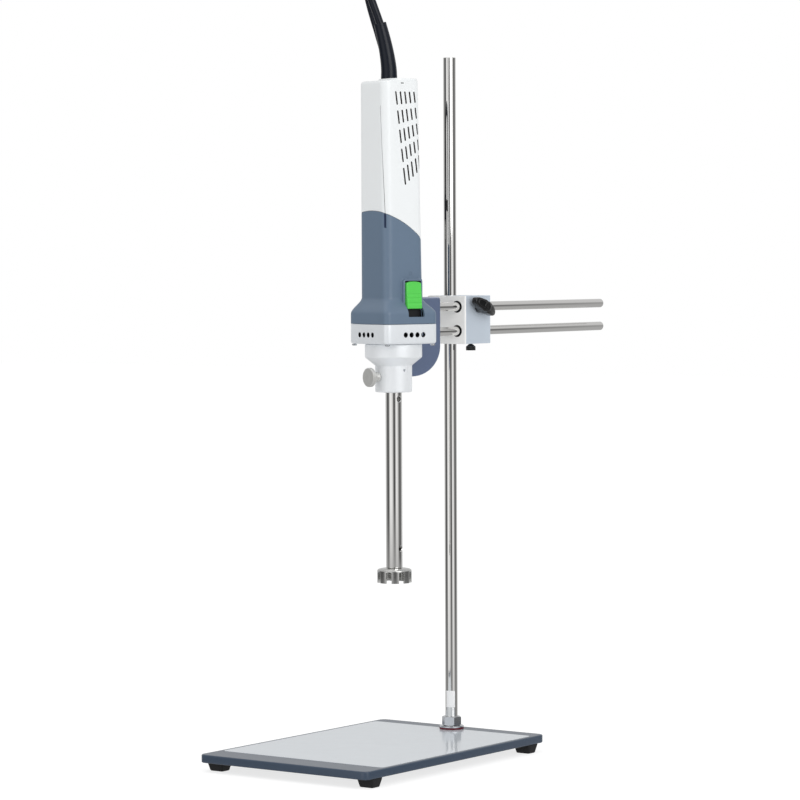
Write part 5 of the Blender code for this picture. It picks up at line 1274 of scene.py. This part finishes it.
    def corner_cut(self, drive, heights, turns, tangent, depth):
        """Thin prism along the front corner: rectangles square to the corner's arc at two heights."""
        rows = []
        for z, turn in zip(heights, np.radians(turns)):
            share = (z - TAPER_BOTTOM) / (drive.body_top - TAPER_BOTTOM)
            face = drive.high_bottom + (drive.high_top - drive.high_bottom) * share
            out = np.array((math.cos(turn), math.sin(turn)))
            side = np.array((-out[1], out[0]))
            spot = (face - drive.corner, drive.corner - drive.low_face) + drive.corner * out
            corners = ((1, 1), (1, -1), (-1, -1), (-1, 1))
            rows.append([spot + a * tangent * side + b * depth * out for a, b in corners])
        return capped(stacked(rows, heights))

    def pad(self):
        """Soft raised field round the switch: outlines that spread to the shell by a quarter circle."""
        t = np.linspace(0.0, np.pi / 2, 7)
        spread = np.concatenate([0.003 * (1 - np.sin(t)), -0.0012 * (1 - np.cos(t))])
        depth = np.concatenate([0.0214 + 0.0025 * (1 - np.cos(t)), 0.0255 - 0.0012 * (1 - np.sin(t))])
        rows = [section((-0.0064 - e, 0.4118), (0.0162 + e, 0.4538 + e), 0.003 + e) for e in spread]
        grid = np.concatenate([stacked(rows[:1], [0.0190]), stacked(rows, depth)])
        return capped(grid[..., [2, 0, 1]])

    def ring_mark(self):
        """A round groove in the shell: a small ring section carried round a circle over the switch."""
        profile = np.array([(0.00135, 0.0), (0.00165, 0.0), (0.00165, 0.004), (0.00135, 0.004)])
        grid = turned(profile, 48)[..., [2, 0, 1]]
        return grid + np.array((0.0216, 0.0047, 0.4591))

    def slots(self, drive, start, end):
        """Air slots: stadium outlines that lean and shrink from column to column, as prisms along X."""
        half, pitch, lean, first = 0.0009, 0.0054, 0.115, 0.634
        angle = np.linspace(0.0, np.pi, 7)
        across, along = half * np.cos(angle), half * (1 - np.sin(angle))
        grids = []
        for column in range(drive.slot_columns):
            shrink = 1.0 - 0.0425 * column
            for row in range(drive.slot_rows):
                length = 0.013 * shrink * (1.25 if row == drive.slot_rows - 1 else 1.0)
                drop = 0.0183 * shrink * row
                y = -0.0105 + pitch * column + lean * shrink * drop
                head = np.stack([y + across, first - drop - along], axis=-1)
                foot = np.stack([y + lean * length - across, first - drop - length + along], axis=-1)
                grids.append(prism(np.concatenate([head, foot]), start, end))
        return grids

    def add_ring(self, drive, place):
        """Square ring: outlines from its underside round the outer wall and down the inner one."""
        half = drive.ring_half
        bottom, top = RING_BOTTOM, RING_TOP
        rows, heights = [], []
        t = np.linspace(0.0, np.pi / 2, 6)
        for inset, height in zip(0.0024 * (1 - np.sin(t)), bottom + 0.0024 * (1 - np.cos(t))):
            rows.append(ring_section(inset))
            heights.append(height)
        for inset, height in zip(0.0006 * (1 - np.cos(t)), top - 0.0006 * (1 - np.sin(t))):
            rows.append(ring_section(inset))
            heights.append(height)
        inner = half - 0.003
        for height in (top, bottom + 0.003):
            rows.append(section((-inner, -inner), (inner, inner), 0.012))
            heights.append(height)
        ring = solid("silver_ring", [placed(capped(stacked(rows, heights)), place)])
        cuts = [solid("spigot", [placed(bar(0.017, bottom - 0.002, bottom + 0.006, 0, 64), place)])]
        vent = turned(np.array([
            (0.0, -half - 0.001), (0.0035, -half - 0.001), (0.00245, -half + 0.0005),
            (0.00245, half - 0.0005), (0.0035, half + 0.001), (0.0, half + 0.001),
        ]), 32)[..., [2, 0, 1]]
        for turn in (0, 90):
            across = place @ Matrix.Rotation(math.radians(turn), 4, "Z")
            spots = [np.array((0.0, 0.0026 + 0.007 * (k - 1.5), 0.4003)) for k in range(4)]
            cuts.append(solid("vents", [placed(vent + spot, across) for spot in spots]))
        head = eased([
            (0.0, -GAP - 0.0007), (0.0011, -GAP - 0.0007), (0.0011, -GAP - 0.0016), (0.0019, -GAP - 0.0016),
            (0.0024, -GAP - 0.0009), (0.0024, -GAP), (0.0012, -GAP), (0.0012, 0.012), (0.0, 0.012),
        ], [0, 0, 0.0001, 0.0003, 0.0003, 0.0001, 0, 0.0001, 0], 3)
        reach = 0.027
        for number, (side, end) in enumerate(((-1, -1), (-1, 1), (1, -1), (1, 1)), 1):
            spot = place @ Matrix.Translation((side * reach, end * reach, bottom))
            cuts.append(solid("thread", [placed(bar(0.0015, -0.002, 0.0125, 0, 24), spot)]))
            screw = solid(f"ring_screw_{number}", [placed(turned(head, 48), spot)])
            finished(screw, zinc_steel(), "arm", [f"flange_screw_{number}"])
        carved(ring, cuts)
        finished(ring, cast_ring(), "arm", ["flange_ring"], 13)
        spot = face_places(ring, place)[0]
        # Painted shade: the ring's inner wall is coloured nearly black, so the vents look dark.
        inner = depth_within(spot, np.full(2, -half), np.full(2, half), RING_CORNER) > 0.0007
        coated(ring, dark_painted_shade(), inner & (spot[:, 2] > bottom + 0.0028) & (spot[:, 2] < top - 0.0003))


class HOMOGENIZER_OT_controls(bpy.types.Operator):
    """Green slide switch with thumb ribs, and the speed wheel in the cap"""

    bl_idname = "homogenizer.controls"
    bl_label = "Switch and speed wheel"

    def execute(self, context):
        drive = settings("drive")
        place = drive_place()
        cap = solid("slide_switch", [placed(self.cap(), place)])
        stem = slab((0.0199, 0.0024), (0.0250, 0.0074), 0.0003, 0.4360, 0.4410, 0.0)
        carved(cap, (), [solid("stem", [placed(stem, place)])])
        finished(cap, green_switch(), "switch", ["power_switch"], 34)
        radius = 0.0078
        centre = place @ Vector((
            drive.high_top - drive.wall - GAP - radius, 0.0085,
            drive.body_top + drive.cap_height + 0.0006 - radius,
        ))
        quarter = Matrix.Rotation(math.radians(90), 4, "X")
        across = Matrix.Translation(centre) @ place.to_3x3().to_4x4() @ quarter
        shaft = bar(0.0015, -0.0044, 0.0, 0, 24)
        wheel = solid("speed_wheel", [placed(grid, across) for grid in (self.wheel(radius), shaft)])
        finished(wheel, white_shell(), "dial", ["speed_dial"], 40)
        return {"FINISHED"}

    def cap(self):
        """Switch cap: side outlines with an arched top, drawn in at the face, which leans and has grooves."""
        half, middle = 0.0088, 0.0049
        bottom, shoulder, arch = 0.4254, 0.4494, 0.0022
        t = np.linspace(1.0, -1.0, 25)
        crown = np.stack([middle + half * t, shoulder + arch * np.sqrt(np.maximum(1 - t ** 2, 0.0))], axis=-1)
        side = np.linspace(0.0, 1.0, 60)[1:-1]
        left = np.stack([np.full_like(side, middle - half), shoulder + (bottom - shoulder) * side], axis=-1)
        base = np.stack([middle - half + 2 * half * np.linspace(0, 1, 12)[:-1], np.full(11, bottom)], axis=-1)
        right = np.stack([np.full_like(side, middle + half), bottom + (shoulder - bottom) * side], axis=-1)
        rim = np.concatenate([crown, left, base, right])
        centre = np.array((middle, (bottom + shoulder) / 2))
        rows, depth = [], []
        for scale, lift in ((1.0, -1.0), (1.0, 0.0), (0.985, 0.55), (0.955, 0.85), (0.91, 1.0)):
            rows.append(centre + (rim - centre) * (scale, scale ** 0.5))
            depth.append(lift)
        for scale in (0.82, 0.6, 0.4, 0.2, 0.001):
            rows.append(centre + (rim - centre) * (scale, 0.955))
            depth.append(1.0)
        flat = np.stack(rows)
        lift = np.array(depth)[:, None]
        z = flat[..., 1]
        face = 0.0289 - (z - bottom) * (0.0017 / 0.0262)
        x = np.where(lift < 0, 0.0238, face - 0.0009 + 0.0009 * np.maximum(lift, 0.0))
        groove = sum(np.exp(-((z - g) / 0.00042) ** 2) for g in (0.4397, 0.4358, 0.4310))
        ridge = np.exp(-((z - 0.4285) / 0.0012) ** 2)
        inner = lift >= 1.0
        x = x - np.where(inner, 0.0005 * groove - 0.0003 * ridge, 0.0)
        grid = np.stack([x, flat[..., 0], z], axis=-1)
        back = np.broadcast_to(grid[0].mean(axis=0), grid[0].shape)
        return np.concatenate([back[None], grid])

    def wheel(self, radius):
        """Wheel whose rim swells and sinks with the cosine of forty teeth."""
        angle = np.arange(200) * math.tau / 200
        half = 0.002
        profile = eased([
            (0.0, -half), (radius, -half), (radius, half), (0.0, half),
        ], [0, 0.0004, 0.0004, 0], 3)
        grid = turned(profile, 200)
        rim = profile[:, :1] > 0.006
        grid[..., :2] *= (1 - rim * 0.022 * (0.5 - 0.5 * np.cos(40 * angle)))[..., None]
        return grid


class HOMOGENIZER_OT_nose(bpy.types.Operator):
    """Blasted nose, knurled lock screw and polished generator tube"""

    bl_idname = "homogenizer.nose"
    bl_label = "Nose and tube"

    def execute(self, context):
        drive = settings("drive")
        place = drive_place()
        neck, wide = drive.neck_radius, drive.nose_radius
        bottom, top = NOSE_BOTTOM, RING_BOTTOM - GAP
        bore, cup, seat, shaft = 0.0083, 0.0167, 0.0113, 0.0073
        profile = eased([
            (bore, bottom), (neck, bottom), (neck, CONE_BOTTOM), (wide, CONE_TOP), (wide, top), (cup, top),
            (cup, 0.3945), (seat, 0.3945), (seat, 0.3872), (shaft, 0.3872), (shaft, 0.3763), (bore, 0.3763),
        ], [0.0004, 0.0016, 0.0007, 0.0009, 0.0012, 0.0001, 0.0002, 0.0001, 0, 0, 0, 0], 6, True)
        nose = solid("blasted_nose", [placed(turned(profile, 128), place)], True)
        quarter = Matrix.Rotation(math.radians(90), 4, "X")
        thumb = place @ Matrix.Translation((0, 0, 0.3594)) @ quarter
        pin = place @ Matrix.Translation((0, 0, 0.366)) @ Matrix.Rotation(math.radians(90), 4, "Y")
        pin_shape = np.array([
            (0.0, neck - 0.004), (0.00125, neck - 0.004), (0.00125, neck - 0.0003),
            (0.0019, neck + 0.0004), (0.0019, neck + 0.002), (0.0, neck + 0.002),
        ])
        screw_place = along_y(settings("arm").rod_side, NOSE_SCREW)
        cuts = [
            solid("pin", [placed(turned(pin_shape, 32), pin)]),
            solid("thread", [placed(bar(STUD_RADIUS + GAP, 0.005, neck + 0.002, 0, 32), thumb)]),
            solid("screw", [placed(bar(SCREW_RADIUS + GAP, 0.0214, 0.05, 0, 24), screw_place)]),
        ]
        carved(nose, cuts)
        finished(nose, blasted_nose(), "arm", ["nose"], 28)
        screw = solid("knurled_screw", [placed(self.thumb(drive), thumb)])
        finished(screw, nickel_brass(), "tube_lock", ["tube_lock_screw"], 40)
        outer, end = drive.tube_radius, 0.376
        inner = outer - 0.0015
        wall = [(inner, TUBE_BOTTOM), (outer, TUBE_BOTTOM), (outer, end), (inner, end)]
        tube = solid("polished_tube", [placed(turned(eased(wall, 0.0003, 3, True), 96), place)], True)
        hole = turned(np.array([
            (0.0, -0.012), (0.0032, -0.012), (0.0032, -0.0078), (0.0025, -0.0071), (0.0025, 0.0071),
            (0.0032, 0.0078), (0.0032, 0.012), (0.0, 0.012),
        ]), 48)[..., [2, 0, 1]]
        cuts = []
        for height, turn in ((0.3379, 6.8), (0.193, 17.8)):
            across = place @ Matrix.Rotation(math.radians(turn), 4, "Z")
            cuts.append(solid("hole", [placed(hole + np.array((0.0, 0.0, height)), across)]))
        carved(tube, cuts)
        finished(tube, chrome("Z"), "arm", ["generator_tube"])
        return {"FINISHED"}

    def thumb(self, drive):
        """Lock screw: a stud, a waisted collar and a disc whose rim rises and falls in crossed lines."""
        reach, disc, ease = 0.0307, 0.0093, 0.0006
        start = reach - 0.004
        neck = drive.neck_radius + GAP
        profile = eased([
            (0.0, 0.0083), (STUD_RADIUS, 0.0083), (STUD_RADIUS, neck), (0.0044, neck),
            (0.0052, neck + 0.0022), (0.0040, neck + 0.0036), (0.0052, neck + 0.0052), (0.0046, start),
            (disc - ease, start), (disc, start + ease), (disc, reach - ease), (disc - ease, reach),
            (0.0030, reach), (0.0, reach - 0.0003),
        ], [
            0, 0.0002, 0.0001, 0.0004, 0.0012, 0.0008, 0.0012, 0.0003, 0.0002,
            0.0002, 0.0002, 0.0003, 0.0003, 0,
        ], 6)
        rim = np.stack([np.full(13, disc), np.linspace(start + ease, reach - ease, 13)], axis=-1)
        cut = np.flatnonzero(profile[:, 1] >= reach - ease)[0]
        profile = np.concatenate([profile[:cut], rim, profile[cut:]])
        grid = turned(profile, 180)
        angle = np.arange(180) * math.tau / 180
        height = profile[:, 1:]
        knurl = np.maximum(np.cos(60 * angle + height * 4200), np.cos(60 * angle - height * 4200))
        on_rim = (profile[:, :1] > 0.0092) & (height > start + 0.0005)
        depth = on_rim * 0.00014 * (1 - knurl)
        grid[..., :2] *= (1 - depth / disc)[..., None]
        return grid


class HOMOGENIZER_OT_workhead(bpy.types.Operator):
    """Slotted stainless cage with the bladed rotor inside"""

    bl_idname = "homogenizer.workhead"
    bl_label = "Workhead and rotor"

    def execute(self, context):
        head = settings("head")
        place = drive_place()
        inner = head.radius - head.wall
        bottom, roof, seat = HEAD_BOTTOM, HEAD_ROOF, TUBE_BOTTOM - GAP
        profile = eased([
            (0.0028, 0.1827), (0.0062, 0.1827), (0.0062, seat), (0.0115, seat), (0.0148, seat - 0.0007),
            (0.0161, roof + 0.0009), (head.radius, roof - 0.0002), (head.radius, bottom), (inner, bottom),
            (inner, roof), (0.0028, roof),
        ], [0.0002, 0.0003, 0.0002, 0.0012, 0.0012, 0.0008, 0.0004, 0.0003, 0.0002, 0.0003, 0], 4, True)
        cage = solid("slotted_cage", [placed(turned(profile, 160), place)], True)
        pitch = math.tau / head.legs
        gap = (pitch * inner - head.leg_width) / 2
        slot = self.slot(gap, bottom - 0.002, roof - 0.0008) + np.array((inner - 0.003, 0.0, 0.0))
        grids = []
        for k in range(head.legs):
            turn = Matrix.Rotation(math.radians(-33.4) + pitch * (k + 0.5), 4, "Z")
            grids.append(placed(slot, place @ turn))
        carved(cage, [solid("slots", grids)])
        finished(cage, turned_steel(), "arm", ["stator_head"], 30)
        top = roof - 2 * GAP
        low = top - 0.0095
        hub = turned(eased([
            (0.0, low - 0.0006), (0.0022, low - 0.0006), (0.0045, low), (0.0045, top), (0.0, top),
        ], [0, 0.0006, 0.0004, 0.0002, 0], 4), 64)
        reach = inner - 0.0006
        grids = [placed(hub, place)]
        blade = slab((-reach, -0.0015), (reach, 0.0015), 0.0004, low + 0.0004, top - 0.0004, 0.0002)
        for k in range(head.blades // 2):
            grids.append(placed(blade, place @ Matrix.Rotation(math.tau / head.blades * k, 4, "Z")))
        finished(solid("bladed_rotor", grids), turned_steel(), "rotor", ["rotor_head"], 30)
        return {"FINISHED"}

    def slot(self, half, bottom, top):
        """A slot between two legs: upright sides and a round top, as a prism along X."""
        angle = np.linspace(0.0, np.pi, 13)
        rise = min(half, 0.0012)
        crown = np.stack([half * np.cos(angle), top - rise + rise * np.sin(angle)], axis=-1)
        outline = np.concatenate([crown, [(-half, bottom), (half, bottom)]])
        return prism(outline, 0.0, 0.0085)


class HOMOGENIZER_OT_lead(bpy.types.Operator):
    """Strain relief, the mains lead with its tied hank behind the drive, and the plug"""

    bl_idname = "homogenizer.lead"
    bl_label = "Lead and plug"

    def execute(self, context):
        lead = settings("lead")
        drive = settings("drive")
        hank = hank_place()
        base = drive_place() @ Vector((0.0, -LEAD_BACK, drive.body_top + drive.cap_height))
        seen = Matrix.Translation(base) @ Matrix.Rotation(math.radians(SIGHT_TURN), 4, "Z")
        across = np.array(hank.to_3x3().col[0])
        boot = solid("strain_relief_boot", [placed(self.boot(lead), seen)])
        finished(boot, pvc_sheath(), "arm", ["strain_relief"], 40)

        path = self.path(lead, seen, hank)
        tube = swept(path, np.full(len(path), lead.radius), across, 20)
        cord = solid("mains_lead", [capped(tube)])
        finished(cord, pvc_sheath(), "arm", ["cord_tube", "cord_hank"], 50)

        middle = lead.hank_top - lead.hank_length / 2
        thick = 2 * lead.radius + 0.00025
        half = lead.hank_width / 2
        rows = []
        for e, z in (
            (GAP, -0.0046), (GAP + 0.0008, -0.005), (GAP + 0.0012, -0.0046),
            (GAP + 0.0012, 0.0046), (GAP + 0.0008, 0.005), (GAP, 0.0046),
        ):
            outline = section((-thick - e, -half - e), (thick + e, half + e), 0.0012 + e)
            rows.append(stacked([outline], [middle + z])[0])
        tie = solid("hank_tie", [placed(np.stack(rows), hank)], True)
        finished(tie, black_phenolic(), "arm", ["cord_tie"], 40)

        plug = solid("plug_grip", [placed(self.plug(lead), hank)])
        finished(plug, pvc_sheath(), "arm", ["plug_body"], 40)
        for number, side in ((1, -1), (2, 1)):
            spot = Matrix.Translation((lead.radius, PLUG_SIDE + side * 0.0095, PLUG_FACE))
            pin = solid(f"contact_pin_{number}", [placed(bar(0.0024, -0.019, -GAP, 0.0008, 40), hank @ spot)])
            finished(pin, nickel_brass(), "arm", [f"plug_pin_{number}"])
        return {"FINISHED"}

    def boot(self, lead):
        """Relief: circles that shrink upwards while their centres lean with a power of the height."""
        share = np.linspace(0.0, 1.0, 33)
        bend = np.clip((share - 1 / 9) / (8 / 9), 0.0, 1.0)
        height = GAP + (BOOT_HEIGHT - 2 * GAP) * share
        centre = np.stack([-BOOT_LEAN * bend ** 1.5, np.zeros(33), height], axis=-1)
        radius = lead.boot_radius + (lead.boot_tip - lead.boot_radius) * share
        radius = radius + 0.0004 * np.exp(-((share - 0.985) / 0.012) ** 2)
        below = np.array([(0.0, 0.0, -0.0078), (0.0, 0.0, -0.0075), (0.0, 0.0, GAP - 0.00001)])
        path = np.concatenate([below, centre])
        radii = np.concatenate([[0.0057, 0.006, 0.006], radius])
        return capped(swept(path, radii, np.array((0.0, 1.0, 0.0)), 40))

    def path(self, lead, seen, hank):
        """The lead's line: a curve through the route, then straight runs and half circles of the hank."""
        route = np.array([
            (0.0080, 0.0000, 0.0505), (0.0086, 0.0000, 0.0535), (0.0172, 0.0010, 0.0780),
            (0.0240, 0.0100, 0.1000), (0.0275, 0.0300, 0.1148), (0.0285, 0.0520, 0.1196),
            (0.0275, 0.0740, 0.1148), (0.0240, 0.0940, 0.1000), (0.0183, 0.1035, 0.0760),
            (0.0108, 0.1045, 0.0500), (0.0055, 0.1040, 0.0300), (0.0038, 0.1040, 0.0100),
            (0.00375, 0.1040, -0.0150),
        ]) * (-1.0, 1.0, 1.0)
        free = placed(flowing(route), seen)
        width = 2 * lead.radius
        outer = lead.hank_width / 2 - lead.radius
        inner = outer - width
        mean = (outer + inner) / 2
        high = lead.hank_top - lead.hank_width / 2
        low = lead.hank_top - lead.hank_length + lead.hank_width / 2
        near, far = -lead.radius, lead.radius
        t = np.linspace(0.0, np.pi, 25)
        shift = (inner - outer) / 2
        ease = (1 - np.cos(t)) / 2
        parts = []
        bends = (
            ("down", 0.0, outer, near, near), ("up", shift, mean, near, near),
            ("down", 0.0, inner, near, near), ("up", 0.0, inner, near, far),
            ("down", shift, mean, far, far), ("up", 0.0, outer, far, far),
        )
        for way, middle, radius, start, end in bends:
            x = start + (end - start) * ease
            if way == "down":
                y, z = middle + radius * np.cos(t), low - radius * np.sin(t)
            else:
                y, z = middle - radius * np.cos(t), high + radius * np.sin(t)
            parts.append(np.stack([x, y, z], axis=-1))
        s = np.linspace(0.0, 1.0, 17)[1:, None]
        side = outer + (PLUG_SIDE - outer) * s * s * (3 - 2 * s)
        tail = np.concatenate([np.full_like(s, far), side, high + (PLUG_TAIL - high) * s], axis=1)
        wound = np.concatenate(parts + [tail, [(far, PLUG_SIDE, PLUG_TAIL - 0.006)]])
        return even(np.concatenate([free, placed(wound, hank)]), 0.004)

    def plug(self, lead):
        """Plug grip: a ribbed tail and a body whose sections grow from the lead to a broad face."""
        slim, broad = 0.0062, 0.0178
        height = np.linspace(0.0, 1.0, 49)
        z = PLUG_TAIL + (PLUG_FACE - PLUG_TAIL) * height
        grow = np.clip(height / 0.42, 0.0, 1.0)
        radius = slim + (broad - slim) * (3 * grow ** 2 - 2 * grow ** 3)
        radius = radius - 0.0007 * (height > 0.46) * (height < 0.9) * (0.5 - 0.5 * np.cos(height * 90))
        radius = np.where(height > 0.97, radius - 0.0006, radius)
        radius = np.concatenate([[0.0], radius, [0.0]])
        body = turned(np.stack([radius, np.concatenate([[PLUG_TAIL], z, [PLUG_FACE]])], axis=-1), 72)
        body[..., 0] *= 0.86
        return body + np.array((lead.radius, PLUG_SIDE, 0.0))


class HOMOGENIZER_OT_inside(bpy.types.Operator):
    """Finishes of the carried-over motor, bearings, board and screws inside the drive"""

    bl_idname = "homogenizer.inside"
    bl_label = "Motor and inner parts"

    def execute(self, context):
        # Stamped electrical steel: blue grey sheets with thin dark lines between them
        sheets = finish("laminated_electrical_steel", linear("#8C9096"), 0.42, 0.9, spot=0.0007,
                        stretch=(40.0, 40.0, 1.0), swing=0.08, shade=0.08)
        # Drawn copper: warm and bright where the brushes run
        copper = finish("drawn_copper", linear("#C67C54"), 0.26, 1.0, spot=0.0006, stretch=(8.0, 8.0, 1.0),
                        swing=0.08, shade=0.06)
        # Pressed carbon: dark grey and dull
        carbon = finish("pressed_carbon", linear("#2A2A2C"), 0.7, spot=0.0004, swing=0.1, shade=0.1,
                        depth=0.00003)
        # Moulded nylon: black, satin
        nylon = finish("moulded_nylon_black", linear("#1A1B1E"), 0.45, spot=0.0008, swing=0.06, shade=0.06)
        # Glass epoxy board under green lacquer: glossy over a woven ground
        board = finish("glass_epoxy_board", linear("#1F6B3C"), 0.28, spot=0.0008, swing=0.06, shade=0.1)
        # Ground bearing steel: bright with fine rings
        ground = finish("ground_bearing_steel", linear("#CDCDCB"), 0.16, 1.0, spot=0.0003,
                        stretch=(20.0, 20.0, 1.0), swing=0.05, shade=0.03)
        finishes = {
            "motor_field": sheets, "armature": sheets, "commutator": copper, "brush_holder_front": copper,
            "brush_holder_back": copper, "brush_front": carbon, "brush_back": carbon, "brush_bridge": nylon,
            "cooling_fan": nylon, "switch_block": nylon, "dial_potentiometer": nylon, "control_board": board,
            "lower_bearing": ground, "upper_bearing": ground, "spindle": ground, "coupling": turned_steel(),
            "drive_shaft": ground, "shaft_bush_upper": natural_ptfe(), "shaft_bush_lower": natural_ptfe(),
            "bracket_screw_upper": zinc_steel(), "bracket_screw_lower": zinc_steel(),
        }
        for name, made in finishes.items():
            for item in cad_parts[name].material_slots:
                item.material = made
        return {"FINISHED"}


OPERATORS = (
    HOMOGENIZER_OT_stage, HOMOGENIZER_OT_plate, HOMOGENIZER_OT_column, HOMOGENIZER_OT_clamp,
    HOMOGENIZER_OT_arm, HOMOGENIZER_OT_shells, HOMOGENIZER_OT_controls, HOMOGENIZER_OT_nose,
    HOMOGENIZER_OT_workhead, HOMOGENIZER_OT_lead, HOMOGENIZER_OT_inside,
)
GROUPS = {
    "stand": HomogenizerStand, "arm": HomogenizerArm, "drive": HomogenizerDrive, "head": HomogenizerHead,
    "lead": HomogenizerLead, "finish": HomogenizerFinish, "studio": HomogenizerStudio,
}


class VIEW3D_PT_homogenizer(bpy.types.Panel):
    """Sizes, colours and steps of the homogenizer"""

    bl_idname = "VIEW3D_PT_homogenizer"
    bl_label = "Homogenizer"
    bl_space_type = "VIEW_3D"
    bl_region_type = "UI"
    bl_category = "Homogenizer"

    def draw(self, context):
        for part, group in GROUPS.items():
            box = self.layout.box()
            box.label(text=part.capitalize())
            for key in group.__annotations__:
                box.prop(getattr(context.scene, f"homogenizer_{part}"), key)
        for operator in OPERATORS:
            self.layout.operator(operator.bl_idname)


def register():
    """Registers the sizes, steps and panel."""
    for item in (*GROUPS.values(), *OPERATORS, VIEW3D_PT_homogenizer):
        bpy.utils.register_class(item)
    for part, group in GROUPS.items():
        setattr(bpy.types.Scene, f"homogenizer_{part}", PointerProperty(type=group))


def unregister():
    """Takes the sizes, steps and panel away again."""
    for part in GROUPS:
        delattr(bpy.types.Scene, f"homogenizer_{part}")
    for item in reversed((*GROUPS.values(), *OPERATORS, VIEW3D_PT_homogenizer)):
        bpy.utils.unregister_class(item)


def main():
    register()
    steps = bpy.ops.homogenizer
    steps.stage()
    steps.lead()
    steps.plate()
    steps.column()
    steps.clamp()
    steps.arm()
    steps.shells()
    steps.controls()
    steps.nose()
    steps.workhead()
    steps.inside()


if __name__ == "__main__":
    main()
